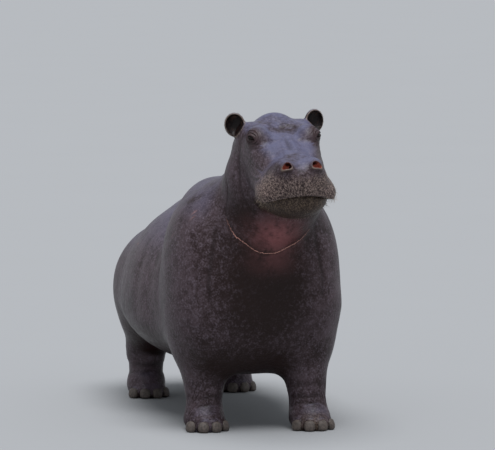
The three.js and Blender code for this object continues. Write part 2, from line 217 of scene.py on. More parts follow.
def headSpot(side, at, tip=0, lean=0, turn=0):
    # a place on the head with axes of its own: X to the side, -Y forward, in metres
    spot = Matrix.Translation((side * at[0] * headUnit, -at[1] * headUnit, at[2] * headUnit))
    spin = turned(turn, "Z") @ turned(tip, "X")
    return headTurn @ spot @ spin @ turned(lean, "Y")


# Sides are 1 for the left and -1 for the right.
earSpots = {s: headSpot(s, ear["at"], ear["tip"], s * ear["lean"], s * ear["turn"]) for s in (1, -1)}
eyeSpots = {s: headSpot(s, eye["at"], -eye["upward"], -s * eye["slant"], s * eye["outward"]) for s in (1, -1)}
nostrilSpots = {s: headSpot(s, nostril["at"], -nostril["upward"], 0, s * nostril["outward"]) for s in (1, -1)}


def inSpot(spot, p):
    # the same places in a headSpot's own axes, in head units
    return tuple(v / headUnit for v in through(spot.inverted(), p))


def toeAt(foot, angle):
    a = math.radians(angle)
    x, y = foot["at"][0] + toe["across"] * math.sin(a), foot["at"][1] - toe["ahead"] * math.cos(a)
    return x, y, toe["height"]


def trunkField(p):
    q = toBody(p)
    return meltAll((np.abs(q[0]), q[1], q[2]), trunkMasses, blob) * bodyUnit


def legField(p, side, stride, kind):
    x, y, z = toBody(p)
    q = (x * side, y - stride, z)
    total = melted(meltAll(q, kind["bars"], bar), blob(q, **kind["foot"]), melts["foot"])
    for angle in toe["angles"]:
        total = melted(total, blob(q, toeAt(kind["foot"], angle), toe["size"]), toe["melt"])
    return total * bodyUnit


def mouthHeight(s, f):
    rear = np.maximum(0, mouth["bendAt"] - f)
    return mouth["front"] - mouth["sideDrop"] * s * s - mouth["rearDrop"] * rear * rear


def headField(p):
    # head, jaw and throat in head units, before ears and details; the mouth closes towards its corner
    s, f, u = toHead(p)
    q = (np.abs(s), f, u)
    rise = u - mouthHeight(s, f)
    gate = ramp(f, *mouth["corner"])
    upper = meltAll(q, headMasses, blob)
    upper = upper + (-melted(-upper, rise, mouth["lipRound"]) - upper) * gate
    lower = meltAll(q, jawMasses, blob)
    lower = lower + (-melted(-lower, -rise, mouth["lipRound"]) - lower) * gate
    head = melted(upper, lower, mouth["jawMelt"])
    head = head + mouth["slitDepth"] * np.exp(-(rise / mouth["slitWidth"]) ** 2) * gate
    return melted(head, meltAll(q, throatMasses, blob), mouth["throatMelt"])


def earCup(q):
    return blob(q, (0, 0, 0), ear["cup"])


def earHollow(q):
    return blob(q, (0, -ear["ahead"], ear["up"]), ear["hollow"])


def earField(p, side):
    q = inSpot(earSpots[side], p)
    x, y, z = ear["cupFoot"]
    end = toHead(earSpots[side] @ Vector((-side * x * headUnit, y * headUnit, z * headUnit)))
    stalk = bar(toHead(p), (side * ear["root"][0], *ear["root"][1:]), end, ear["stalk"])
    return carved(melted(earCup(q), stalk, ear["stalkMelt"]), -earHollow(q), ear["rim"])


def lidOpening(x, z):
    # distance to the pointed opening between the lids, seen from the front
    wide, high = eye["opening"]
    bend = high * (1 - (x / wide) ** 2)
    return (np.abs(z + eye["droop"] * x * x) - bend) / np.sqrt(1 + (2 * high * x / wide ** 2) ** 2)


def eyeDetail(p, side, total):
    # lids stand up round the ball, an almond opening is cut through them, and folds ring them
    x, y, z = inSpot(eyeSpots[side], p)
    r = np.sqrt(x * x + y * y + z * z)
    lids = melted(total, r - (eye["radius"] + eye["lid"]), 1.0)
    cut = np.maximum(lidOpening(x, z), y + eye["cutDepth"])
    lids = carved(lids, -cut, eye["lidEdge"])
    lids = np.maximum(lids, -(r - (eye["radius"] - eye["socket"])))
    ring = np.sqrt(x * x + (z * eye["foldSquash"]) ** 2)
    near, far = eye["foldReach"]
    window = ramp(ring, near - 0.6, near + 0.5) * (1 - ramp(ring, far - 3, far)) * (y < 3)
    return lids + eye["foldDepth"] * np.cos(2 * math.pi * (ring - near) / eye["foldGap"]) * window


def nostrilHole(p, side):
    # distance to the curved hollow of a nostril
    x, y, z = inSpot(nostrilSpots[side], p)
    return blob((x * side, y, z + nostril["bend"] * (x * side + 1) ** 2), (0, 0, 0), nostril["size"])


def nostrilDetail(p, side, total):
    # a hollow with a swollen rim
    hole = nostrilHole(p, side)
    rim = nostril["rim"] * np.exp(-((hole - nostril["rimAt"]) / nostril["rimWidth"]) ** 2)
    return carved(total - rim, -hole, nostril["edge"])


# Folds and ridges lie along curves through these places; a negative depth stands out. Places on the head are
# side, forward, up in head units, places on the body are side, back, up in body units.
headFolds = [
    {"path": [(24.5, 1.4, -3.7), (23.2, 5.6, -1.8), (19.8, 9.0, -1.6), (16.5, 9.4, -3.4)],
     "width": 0.6, "depth": 0.7},
    {"path": [(26.2, -2.0, -5.2), (24.9, 2.9, -6.0), (21.8, 7.4, -5.3), (18.0, 10.4, -5.8)],
     "width": 0.65, "depth": 0.6},
    {"path": [(26.6, -4.0, -8.0), (25.6, 2.0, -9.0), (22.5, 8.0, -8.3)], "width": 0.65, "depth": 0.45},
    {"path": [(21.8, 7.2, 0.4), (18.6, 10.2, -2.4), (15.4, 11.6, -6.2)], "width": 0.6, "depth": -0.45},
    {"path": [(9.0, 7.5, 1.0), (10.0, 16, -3.0), (12.0, 27, -7)], "width": 2.6, "depth": 1.1},
    {"path": [(3.0, 3, 1.6), (3.6, 16, -0.6), (4.8, 27, -2.2), (7.2, 38, -2.6)],
     "width": 1.5, "depth": -0.85},
    {"path": [(0.8, 5, 1.2), (0.6, 14, -0.8), (1.0, 24, -2.4)], "width": 1.4, "depth": 0.35},
    {"path": [(24.4, 17.5, -14.6), (23.4, 21, -14.3), (22.4, 24.5, -14.3), (21.3, 28, -14.8)],
     "width": 0.75, "depth": 1.4},
    {"path": [(26.4, 13, -22.4), (26.0, 20.5, -22.2), (25.3, 29, -20.2), (23.6, 31, -17.6)],
     "width": 0.75, "depth": 1.2},
    {"path": [(25.8, 14, -18.4), (25.0, 21, -18.6), (23.9, 27, -17.2)], "width": 0.7, "depth": 0.8},
    {"path": [(26.5, -3, -12), (25.8, 4, -13.4), (25.0, 11, -13.8), (23.4, 16, -15.2)],
     "width": 0.8, "depth": 0.4},
    {"path": [(28.8, -8, -14), (28.6, -2, -18), (28.0, 5, -22)], "width": 0.9, "depth": 0.35},
    {"path": [(20.5, 0.5, 8.0), (17.5, 4.5, 7.2), (16.0, 8.2, 4.6), (16.6, 9.8, 1.8)],
     "width": 0.6, "depth": 0.65},
    {"path": [(22.8, 0.0, 6.9), (20.6, 3.8, 6.2), (18.6, 7.4, 4.3), (18.2, 9.0, 1.6)],
     "width": 0.55, "depth": 0.65},
    {"path": [(24.4, -1.4, 5.5), (23.0, 3.0, 5.2), (20.9, 6.8, 3.6), (19.7, 8.6, 1.2)],
     "width": 0.5, "depth": 0.5},
    {"path": [(25.0, -10.0, 5.0), (19.0, -11.5, 8.5), (12.5, -8.0, 7.6)], "width": 1.0, "depth": 0.45},
    {"path": [(9.5, -6.0, 5.0), (4.5, -10.0, 5.0), (-4.5, -10.0, 5.0), (-9.5, -6.0, 5.0)],
     "width": 1.8, "depth": 0.3},
    {"path": [(28.0, -13, -4), (29.5, -10, -15), (30.5, -6, -27), (29.5, -1, -39), (26, 3, -49)],
     "width": 1.4, "depth": 0.6},
    {"path": [(29.0, -10, -8), (30.5, -10, -16), (31.5, -9, -26)], "width": 0.8, "depth": 0.3},
    {"path": [(26.5, 37, -33), (27.5, 30, -36), (27.5, 23, -39)], "width": 0.7, "depth": 0.5},
    {"path": [(0.4, 57, -9), (0.2, 58.5, -15), (0, 57.5, -22)], "width": 0.9, "depth": 0.3},
    {"path": [(7.0, 54.5, -8.0), (4.0, 57, -11.0), (2.6, 58.5, -15)], "width": 0.6, "depth": 0.35},
]
headPits = [
    {"at": (15.6, 10.0, 0.6), "reach": 1.1, "depth": 0.9},  # tear pit before the eye
    {"at": (0, -9, 5.2), "reach": 4.5, "depth": 0.4},  # hollow of the forehead
    {"at": (5.6, 55.5, -9.2), "reach": 0.9, "depth": 0.45},  # notch under the nostril
]
bodyFolds = [
    {"path": [(17.5, -60, 107), (18.8, -64.5, 98), (18.0, -62.5, 90), (14.4, -64.5, 81), (9.4, -65.6, 76.6),
              (3.5, -65.7, 73.0), (-3.5, -65.7, 73.0)], "width": 0.62, "depth": 0.4, "pale": 1.0},
    {"path": [(26, -46, 103), (29, -47, 92), (28.5, -51, 80)], "width": 1.8, "depth": 0.25},
    {"path": [(20, -60, 84), (21.5, -61, 74), (22.5, -60, 63), (21, -57, 52)], "width": 0.8, "depth": 0.45},
    {"path": [(29, -20, 97), (33.5, -14, 84), (35.5, -14, 68), (33, -22, 50), (30, -28, 42)],
     "width": 2.6, "depth": 0.9},
    {"path": [(37, 4, 80), (39, 6, 62), (36, 0, 40)], "width": 3.0, "depth": 0.4},
    {"path": [(33, 42, 74), (36, 40, 56), (32, 42, 38), (26, 44, 30)], "width": 2.4, "depth": 0.9},
    {"path": [(13, -50, 43), (20, -55, 42), (28, -50, 44)], "width": 1.2, "depth": 0.7},
    {"path": [(13, -36, 36), (20, -32, 36), (29, -36, 38)], "width": 1.3, "depth": 0.6},
    {"path": [(9, 82, 72), (6, 86, 64), (5, 85, 54)], "width": 1.6, "depth": 0.7},
    {"path": [(20, 83, 50), (22, 80, 38), (20, 76, 28)], "width": 1.4, "depth": 0.5},
]
ringsBelow = 22  # body units above the floor that the rings of the legs reach
legRings = [  # height, width and depth of folds that ring each leg
    {"height": 13.5, "width": 0.7, "depth": 0.32},
    {"height": 10.8, "width": 0.55, "depth": 0.26},
    {"height": 18.5, "width": 0.9, "depth": 0.22},
]
# Slow waves that keep the skin from being too even: their depth in metres and their run along each axis.
lumps = {"size": 0.0028, "waves": ((9, 5, 4), (-6, 11, 7), (13, -8, 10), (5, 17, -13), (19, 6, 21)), "seed": 4}
# Body units over which each melts into the trunk, and the foot into its leg.
melts = {"leg": 5, "tail": 4, "neck": 7, "head": 1.6, "foot": 4}
skinInset = 0.003  # metres the skin lies inside the solids


def alongPath(p, path, reach):
    # distance from the nearest point of a chain, and how far along it that point is
    near = np.full(p[0].shape, reach)
    share = np.zeros(p[0].shape)
    for i in range(len(path) - 1):
        a, b = path[i], path[i + 1]
        along = [b[k] - a[k] for k in range(3)]
        off = [p[k] - a[k] for k in range(3)]
        t = np.clip(sum(off[k] * along[k] for k in range(3)) / sum(v * v for v in along), 0, 1)
        gap = np.sqrt(sum((off[k] - t * along[k]) ** 2 for k in range(3)))
        closer = gap < near
        near = np.where(closer, gap, near)
        share = np.where(closer, (i + t) / (len(path) - 1), share)
    return near, share


def curved(path, count):
    # a smooth curve through a few places
    ends = [tuple(2 * a - b for a, b in zip(path[0], path[1]))] + list(path)
    ends.append(tuple(2 * a - b for a, b in zip(path[-1], path[-2])))
    knots = np.array(ends)
    spots = []
    for share in np.linspace(0, len(path) - 1 - 1e-6, count):
        i, t = int(share), share % 1
        a, b, c, d = knots[i:i + 4]
        bend, twist = 2 * a - 5 * b + 4 * c - d, 3 * b - a - 3 * c + d
        spots.append(0.5 * (2 * b + (c - a) * t + bend * t * t + twist * t ** 3))
    return np.array(spots)


def within(p, centre, reach, total, shape):
    # lets a small feature act only near its centre
    close = squareGap(p, centre) < reach * reach
    if close.any():
        total[close] = shape(tuple(v[close] for v in p), total[close])
    return total


def bodyShape(p):
    # the whole animal without folds, in metres
    total = trunkField(p)
    for leg in legs.values():
        total = melted(total, legField(p, **leg), melts["leg"] * bodyUnit)
    q = toBody(p)
    total = melted(total, meltAll(q, tailBars, bar) * bodyUnit, melts["tail"] * bodyUnit)
    neck = melted(bar(q, **neckBar), bar(q, **neckCrest), neckCrest["melt"]) * bodyUnit
    total = melted(total, neck, melts["neck"] * bodyUnit)
    total = melted(total, headField(p) * headUnit, melts["head"] * bodyUnit)
    phases = np.random.default_rng(lumps["seed"]).uniform(0, 2 * math.pi, len(lumps["waves"]))
    for wave, phase in zip(lumps["waves"], phases):
        run = sum(p[i] * wave[i] for i in range(3)) + phase
        total = total + lumps["size"] / len(lumps["waves"]) * np.sin(run)
    return total


def slope(field, p, total, reach=5e-4):
    # how fast a field grows along each axis
    return np.stack([(field(tuple(p[j] + reach * (i == j) for j in range(3))) - total) / reach
                     for i in range(3)], 1)


def ontoSurface(field, spots, steps=3):
    # moves places along the field's slope until they lie on the surface
    spots = spots.copy()
    for _ in range(steps):
        p = columns(spots)
        total = field(p)
        across = slope(field, p, total)
        steep = np.maximum((across * across).sum(1), 0.1)
        spots -= np.clip(total / steep, -0.02, 0.02)[:, None] * across
    return spots


# Where the skin is sought along the axis of an eye or nostril, in head units.
probe = {"eye": 4.8, "nostril": 4.6, "depth": 6.5, "outer": -7.0, "inner": 6.0, "start": -6.8, "step": 0.2,
         "halvings": 9}


def alongAxis(field, spots):
    # onto the surface, which near the eyes and nostrils is found by searching inwards along the opening's axis
    placed = ontoSurface(field, spots, 2)
    openings = [(both[s], probe[name]) for name, both in (("eye", eyeSpots), ("nostril", nostrilSpots))
                for s in (1, -1)]
    for spot, reach in openings:
        x, y, z = inSpot(spot, columns(spots))
        chosen = np.nonzero((x * x + z * z < reach ** 2) & (np.abs(y) < probe["depth"]))[0]
        if not len(chosen):
            continue
        x, z = x[chosen], z[chosen]
        outer, inner = np.full(len(chosen), probe["outer"]), np.full(len(chosen), probe["inner"])
        found = np.zeros(len(chosen), bool)

        def at(depth):
            return through(spot, (x * headUnit, depth * headUnit, z * headUnit))

        for depth in np.arange(probe["start"], probe["inner"], probe["step"]):
            inside = (field(at(np.full(len(chosen), depth))) < 0) & ~found
            inner[inside] = depth
            found |= inside
            outer[~found] = depth
        for _ in range(probe["halvings"]):
            middle = (inner + outer) / 2
            inside = field(at(middle)) < 0
            inner, outer = np.where(inside, middle, inner), np.where(inside, outer, middle)
        place = np.stack(at(outer), 1)
        placed[chosen[found]] = place[found]
    return placed


def laidFolds():
    # every fold on both sides, its curve moved onto the surface, in metres
    laid = []
    for onHead, unit, group in ((True, headUnit, headFolds), (False, bodyUnit, bodyFolds)):
        for fold in group:
            spots = curved(fold["path"], 4 * len(fold["path"]))
            for side in (1, -1):
                if onHead:
                    placed = np.array([fromHead(side * s, f, u) for s, f, u in spots])
                else:
                    placed = spots * (side, 1, 1) * unit + (0, standShift, 0)
                laid.append({"path": ontoSurface(bodyShape, placed), "width": fold["width"] * unit,
                             "depth": fold["depth"] * unit, "pale": fold.get("pale", 0)})
    for pit in headPits:
        s, f, u = pit["at"]
        for side in ((1, -1) if s else (1,)):
            spot = ontoSurface(bodyShape, np.array([fromHead(side * s, f, u)]))[0]
            laid.append({"at": spot, "width": pit["reach"] * headUnit, "depth": pit["depth"] * headUnit})
    return laid


def foldDepth(p, laid):
    # how deep the folds given go at each place; they run out towards their ends
    total = np.zeros(p[0].shape)
    for fold in laid:
        if "at" in fold:
            total += fold["depth"] * np.exp(-(np.sqrt(squareGap(p, fold["at"])) / fold["width"]) ** 2)
            continue
        span = 3 * fold["width"]
        low, high = fold["path"].min(0) - span, fold["path"].max(0) + span
        close = np.all([(p[i] > low[i]) & (p[i] < high[i]) for i in range(3)], 0)
        if close.any():
            gap, share = alongPath(tuple(v[close] for v in p), fold["path"], span)
            fade = np.sqrt(4 * share * (1 - share))
            total[close] += fold["depth"] * np.exp(-(gap / fold["width"]) ** 2) * fade
    q = toBody(p)
    low = q[2] < ringsBelow
    for ring in legRings:
        wave = ring["height"] + 0.5 * np.sin(q[1][low] * 0.5) + 0.3 * np.sin(q[0][low] * 0.9)
        total[low] += ring["depth"] * bodyUnit * np.exp(-((q[2][low] - wave) / ring["width"]) ** 2)
    return total


nails = {"size": (2.25, 1.35, 2.3), "reach": 2.75, "height": 2.1, "lean": 16, "power": 2.5, "proud": 0.12,
         "sole": 0.003, "rings": 18, "sides": 28, "gap": 0.12, "cuticle": 0.14, "cuticleAt": 0.4,
         "cuticleWidth": 0.35, "bedEdge": 0.1}


def nailSpots():
    # a frame for every hoof nail, X across it and -Y outward
    spots = []
    for leg in legs.values():
        for angle in toe["angles"]:
            x, y, _ = toeAt(leg["kind"]["foot"], angle)
            a = math.radians(angle)
            x += math.sin(a) * nails["reach"]
            y += leg["stride"] - math.cos(a) * nails["reach"]
            place = (leg["side"] * x * bodyUnit, y * bodyUnit + standShift, nails["height"] * bodyUnit)
            turn = turned(leg["side"] * angle, "Z") @ turned(-nails["lean"], "X")
            spots.append(Matrix.Translation(place) @ turn)
    return spots


nailFrames = nailSpots()


def inNail(spot, p):
    return tuple(v / bodyUnit for v in through(spot.inverted(), p))


def nailDetail(p, spot, total):
    # the nail's bed is cut out of the toe and a low cuticle rings it
    bed = blob(inNail(spot, p), (0, 0, 0), nails["size"], power=nails["power"])
    cuticle = nails["cuticle"] * np.exp(-((bed - nails["cuticleAt"]) / nails["cuticleWidth"]) ** 2)
    return carved(total - cuticle * bodyUnit, -(bed - nails["gap"]) * bodyUnit, nails["bedEdge"] * bodyUnit)


folds = laidFolds()


# Metres a feature acts round its centre.
featureReach = {"ear": 0.15, "eye": 0.09, "nostril": 0.075, "nail": 0.06}


def plainField(p):
    # body and ears without any fine feature, which gives the skin's mesh its layout
    total = bodyShape(p) + skinInset
    for side in (1, -1):
        total = within(p, earSpots[side].translation, featureReach["ear"], total,
                       lambda q, t: melted(t, earField(q, side) * headUnit, ear["headMelt"] * headUnit))
    return np.maximum(total, -p[2])


def skinField(p):
    # the whole skin in metres: body, ears, folds, lids, nostrils and toes
    total = plainField(p) + foldDepth(p, folds)
    for side in (1, -1):
        total = within(p, eyeSpots[side].translation, featureReach["eye"], total,
                       lambda q, t: eyeDetail(q, side, t / headUnit) * headUnit)
        total = within(p, nostrilSpots[side].translation, featureReach["nostril"], total,
                       lambda q, t: nostrilDetail(q, side, t / headUnit) * headUnit)
    for spot in nailFrames:
        total = within(p, spot.translation, featureReach["nail"], total, lambda q, t: nailDetail(q, spot, t))
    return np.maximum(total, -p[2])


# The skin's net: metres between its places on the body, smaller on the head, and the space it looks through.
net = {"step": 0.0232, "headScale": 0.345, "headEnd": -0.80, "bodyStart": -0.36, "waist": 1.45,
       "low": (-52, -200), "high": (52, 46), "ends": (-1.37, 1.37), "coarse": 4, "shell": 0.16, "relax": 2,
       "fineFolds": 0.0085}


def cellScale(y):
    # the size of the net's cells along the body, 1 behind the shoulders
    return net["headScale"] + (1 - net["headScale"]) * ramp(y, net["headEnd"], net["bodyStart"])


def netRows():
    # the places of the net's rows along Y, close together at the head
    rows = [net["ends"][0]]
    while rows[-1] < net["ends"][1]:
        rows.append(rows[-1] + net["step"] * float(cellScale(np.array(rows[-1]))))
    return np.array(rows)


rows = netRows()
rowScale = cellScale(rows) * net["step"]


def fromNet(spots):
    # net places (column, row, layer) to metres
    y = np.interp(spots[:, 1], np.arange(len(rows)), rows)
    scale = np.interp(spots[:, 1], np.arange(len(rows)), rowScale)
    return np.stack([spots[:, 0] * scale, y, net["waist"] + spots[:, 2] * scale], 1)


def toNet(spots):
    row = np.interp(spots[:, 1], rows, np.arange(len(rows)))
    scale = np.interp(row, np.arange(len(rows)), rowScale)
    return np.stack([spots[:, 0] / scale, row, (spots[:, 2] - net["waist"]) / scale], 1)


def closedCorners(total):
    # where two inner corners of a cell face meet only across it, one outer corner joins them, so sheets never
    # share an edge
    for _ in range(6):
        changed = 0
        for u, v in ((0, 1), (1, 2), (2, 0)):
            def shifted(du, dv):
                cut = [slice(None)] * 3
                cut[u] = slice(1, None) if du else slice(None, -1)
                cut[v] = slice(1, None) if dv else slice(None, -1)
                return total[tuple(cut)]
            a, b, c, d = shifted(0, 0), shifted(1, 0), shifted(0, 1), shifted(1, 1)
            for inner, outer in (((a, d), (b, c)), ((b, c), (a, d))):
                clash = (inner[0] < 0) & (inner[1] < 0) & (outer[0] >= 0) & (outer[1] >= 0)
                changed += int(clash.sum())
                first = clash & (outer[0] <= outer[1])
                outer[0][first] = -1e-4
                outer[1][clash & ~first] = -1e-4
        if not changed:
            break
    return total


def surfaceNet(field):
    # one vertex in each cell the surface crosses, joined by quads over the crossed edges
    size = (net["high"][0] - net["low"][0] + 1, len(rows), net["high"][1] - net["low"][1] + 1)
    origin = np.array([net["low"][0], 0, net["low"][1]])

    def at(index):
        return field(columns(fromNet(index + origin)))

    k = net["coarse"]
    coarse = np.stack(np.meshgrid(*[np.arange(0, n, k) for n in size], indexing="ij"), -1)
    rough = at(coarse.reshape(-1, 3)).reshape(coarse.shape[:3])
    nearest = [np.minimum((np.arange(n) + k // 2) // k, rough.shape[i] - 1) for i, n in enumerate(size)]
    total = rough[np.ix_(*nearest)]
    close = np.argwhere(np.abs(total) < net["shell"])
    total[tuple(close.T)] = at(close)
    inside = closedCorners(total) < 0
    corners = [(i, j, m) for i in (0, 1) for j in (0, 1) for m in (0, 1)]
    count = sum(inside[tuple(slice(c, n - 1 + c) for c, n in zip(corner, size))].astype(np.int8)
                for corner in corners)
    cells = np.argwhere((count > 0) & (count < 8))
    number = np.full([n - 1 for n in size], -1)
    number[tuple(cells.T)] = np.arange(len(cells))
    spots = np.zeros((len(cells), 3))
    crossings = np.zeros(len(cells))
    for corner in corners:
        for axis in range(3):
            if corner[axis]:
                continue
            other = list(corner)
            other[axis] = 1
            a, b = total[tuple((cells + corner).T)], total[tuple((cells + other).T)]
            crossed = (a < 0) != (b < 0)
            spot = (cells + corner).astype(float)
            spot[:, axis] += np.where(crossed, a / np.where(crossed, a - b, 1), 0)
            spots += spot * crossed[:, None]
            crossings += crossed
    spots = spots / crossings[:, None] + origin
    quads = []
    for axis in range(3):
        ahead = [slice(1, None) if i == axis else slice(None) for i in range(3)]
        behind = [slice(None, -1) if i == axis else slice(None) for i in range(3)]
        edges = np.argwhere(inside[tuple(behind)] != inside[tuple(ahead)])
        u, v = [(1, 2), (2, 0), (0, 1)][axis]
        edges = edges[np.all([(edges[:, w] > 0) & (edges[:, w] < size[w] - 1) for w in (u, v)], 0)]
        outward = inside[tuple(edges.T)]
        quad = []
        for du, dv in ((1, 1), (0, 1), (0, 0), (1, 0)):
            cell = edges.copy()
            cell[:, u] -= du
            cell[:, v] -= dv
            quad.append(number[tuple(cell.T)])
        quad = np.stack(quad, 1)
        quad[~outward] = quad[~outward][:, ::-1]
        quads.append(quad)
    return fromNet(spots), np.concatenate(quads)


def relaxed(spots, pairs, share):
    # moves each vertex towards the middle of its neighbours
    total = np.zeros_like(spots)
    count = np.zeros(len(spots))
    for a, b in ((0, 1), (1, 0)):
        np.add.at(total, pairs[:, a], spots[pairs[:, b]])
        np.add.at(count, pairs[:, a], 1)
    return spots + share * (total / count[:, None] - spots)


def readAll(items, key, width=1, kind=float):
    flat = np.empty(len(items) * width, dtype=kind)
    items.foreach_get(key, flat)
    return flat.reshape(-1, width) if width > 1 else flat


def coordsOf(mesh):
    return readAll(mesh.vertices, "co", 3)


def cornersOf(mesh):
    return readAll(mesh.loops, "vertex_index", kind=np.int32)


# How far round each feature the mesh is split: head units, fold widths for the folds, body units for the nails.
fineReach = {"eye": 7.4, "lids": 4.5, "lidEdge": 0.5, "lidGap": 5, "nostril": 1.9, "nostrilNear": 0.7,
             "nostrilEdge": 0.35, "ear": 1.2, "lips": 1.3, "lipsFrom": 6, "fold": 1.6, "nail": 0.9}


def fineness(spots):
    # how many times the mesh is split at each place
    p = columns(spots)
    wanted = np.zeros(len(spots))

    def split(times, where):
        wanted[where] = np.maximum(wanted[where], times)

    for side in (1, -1):
        x, y, z = inSpot(eyeSpots[side], p)
        gap = np.sqrt(x * x + y * y + z * z)
        split(1, gap < fineReach["eye"])
        split(2, gap < fineReach["lids"])
        split(3, (np.abs(lidOpening(x, z)) < fineReach["lidEdge"]) & (gap < fineReach["lidGap"]) & (y < 0))
        hole = nostrilHole(p, side)
        split(1, hole < fineReach["nostril"])
        split(2, hole < fineReach["nostrilNear"])
        split(3, np.abs(hole) < fineReach["nostrilEdge"])
        split(1, earCup(inSpot(earSpots[side], p)) < fineReach["ear"])
    s, f, u = toHead(p)
    split(1, (np.abs(u - mouthHeight(s, f)) < fineReach["lips"]) & (f > fineReach["lipsFrom"]))
    for fold in folds:
        if "path" in fold and fold["width"] < net["fineFolds"]:
            split(1, alongPath(p, fold["path"], 1.0)[0] < fineReach["fold"] * fold["width"])
    for spot in nailFrames:
        split(1, blob(inNail(spot, p), (0, 0, 0), nails["size"]) < fineReach["nail"])
    return wanted


def meshOf(name, spots, faces):
    mesh = bpy.data.meshes.new(name)
    spots, faces = (rows.tolist() if isinstance(rows, np.ndarray) else rows for rows in (spots, faces))
    mesh.from_pydata(spots, [], faces)
    mesh.update()
    return mesh


def placed(name, data):
    # a new object at the origin
    made = bpy.data.objects.new(name, data)
    bpy.context.scene.collection.objects.link(made)
    return made


def pieceOf(name, mesh, material, smooth=True):
    piece = placed(name, mesh)
    if not mesh.materials:
        mesh.materials.append(material)
    mesh.polygons.foreach_set("use_smooth", [smooth] * len(mesh.polygons))
    return piece


def skinMesh():
    spots, quads = surfaceNet(plainField)
    print("net", len(spots), "vertices", len(quads), "quads")
    mesh = meshOf("skin", spots, quads)
    pairs = readAll(mesh.edges, "vertices", 2, np.int32)
    for _ in range(net["relax"]):
        spots = relaxed(spots, pairs, 0.5)
        spots = ontoSurface(plainField, spots, 2)
    spots = alongAxis(skinField, spots)
    mesh.vertices.foreach_set("co", spots.ravel())
    for level in (1, 2, 3):
        work = bmesh.new()
        work.from_mesh(mesh)
        wanted = fineness(coordsOf(mesh)) >= level
        work.verts.ensure_lookup_table()
        chosen = [e for e in work.edges if wanted[e.verts[0].index] and wanted[e.verts[1].index]]
        bmesh.ops.subdivide_edges(work, edges=chosen, cuts=1, use_grid_fill=True)
        work.to_mesh(mesh)
        work.free()
        spots = coordsOf(mesh)
        pairs = readAll(mesh.edges, "vertices", 2, np.int32)
        for _ in range(2):
            moved = relaxed(spots, pairs, 0.35)
            fine = fineness(spots) >= level
            spots[fine] = moved[fine]
            spots[fine] = alongAxis(skinField, spots[fine])
        mesh.vertices.foreach_set("co", spots.ravel())
    spots[:, 2] = np.maximum(spots[:, 2], 0)
    mesh.vertices.foreach_set("co", spots.ravel())
    mesh.update()
    return mesh


# Soft patches of colour in body units; those of the jowl and forehead are in head units. The throat is pink
# hide, the chest and jowl patches are painted shade over darker hide, and the forehead patch is a painted sky
# sheen.
colourSpots = {
    "throat": {"at": (2, -66, 81.5), "reach": (8.5, 12, 7.5)},
    "underThroat": {"at": (2, -64, 69), "reach": (9, 10, 5)},
    "chest": {"at": (0, -60, 62), "reach": (19, 22, 30)},
    "jowl": {"at": (27, -1, -57), "reach": (13, 18, 17)},
    "forehead": {"at": (-2, -5, 4), "reach": (16, 12, 8)},
}
# Where a mark begins and is full: head units, but for the slopes, the crease and the two fold values in metres.
markReach = {
    "foldWidth": 0.0125, "foldFull": 0.0045, "mouthLine": 0.75, "mouthFrom": 15, "muzzle": (22, 48),
    "muzzleDown": (3, 18), "muzzleLip": (-1.5, 0.5), "chin": (10, 26), "chinLip": (-0.5, 1.0),
    "chinUnder": (0.25, 0.85), "facing": (0.05, 0.6), "upper": (0.34, 0.98), "under": (0.05, 0.75),
    "neck": (-56, -44), "eye": (5, 10.5), "lidGap": 6, "nostrilWarm": (0.9, 0.8), "nostrilInner": (0.0, 0.35),
    "nostrilDeep": (0.0, 0.3), "nostrilRim": (0.55, 0.3), "ear": (0.05, 0.45), "earRim": (0.75, 0.3),
    "crease": (1.2, 2.2), "creaseTop": (77, 88), "creaseSpan": 2.5, "creaseBelow": 97,
}
scars = [  # short pale marks on the body, from, to and half width in body units
    {"a": (-27.2, -51, 86.5), "b": (-26.4, -50, 89.4), "width": 0.4},
    {"a": (-31.0, 27, 68.3), "b": (-32.0, 26, 70.4), "width": 0.5},
    {"a": (-34.5, -40, 81.5), "b": (-33.5, -43, 77.0), "width": 0.25},
    {"a": (-31.6, -50, 73.0), "b": (-29.5, -56, 66.5), "width": 0.22},
    {"a": (30.0, -44, 84), "b": (31.5, -40, 79), "width": 0.25},
    {"a": (36.5, 8, 66), "b": (37.5, 14, 62), "width": 0.35},
]


def gaussian(q, at, reach):
    return np.exp(-sum(((q[i] - at[i]) / reach[i]) ** 2 for i in range(3)))


def band(v, middle, width):
    return np.exp(-((v - middle) / width) ** 2)


def creaseMarks(p, height):
    # the throat's pale crease: its nearness, and how far above or below it a place lies, 0.5 being on it
    reach = markReach
    creases = [fold for fold in folds if fold.get("pale")]
    gap = np.min([alongPath(p, fold["path"], 1.0)[0] for fold in creases], 0) / creases[0]["width"]
    line = np.vstack([fold["path"][side * fold["path"][:, 0] > 0] for fold, side in zip(creases, (1, -1))])
    line = line[line[:, 2] < reach["creaseBelow"] * bodyUnit]
    line = line[np.argsort(line[:, 0])]
    above = np.where(p[2] > np.interp(p[0], line[:, 0], line[:, 2]), 1, -1)
    near = creases[0]["pale"] * (1 - ramp(gap, *reach["crease"])) * (1 - ramp(height, *reach["creaseTop"]))
    return near, np.where(gap < reach["creaseSpan"], 0.5 + 0.5 / reach["creaseSpan"] * gap * above, 0.5)


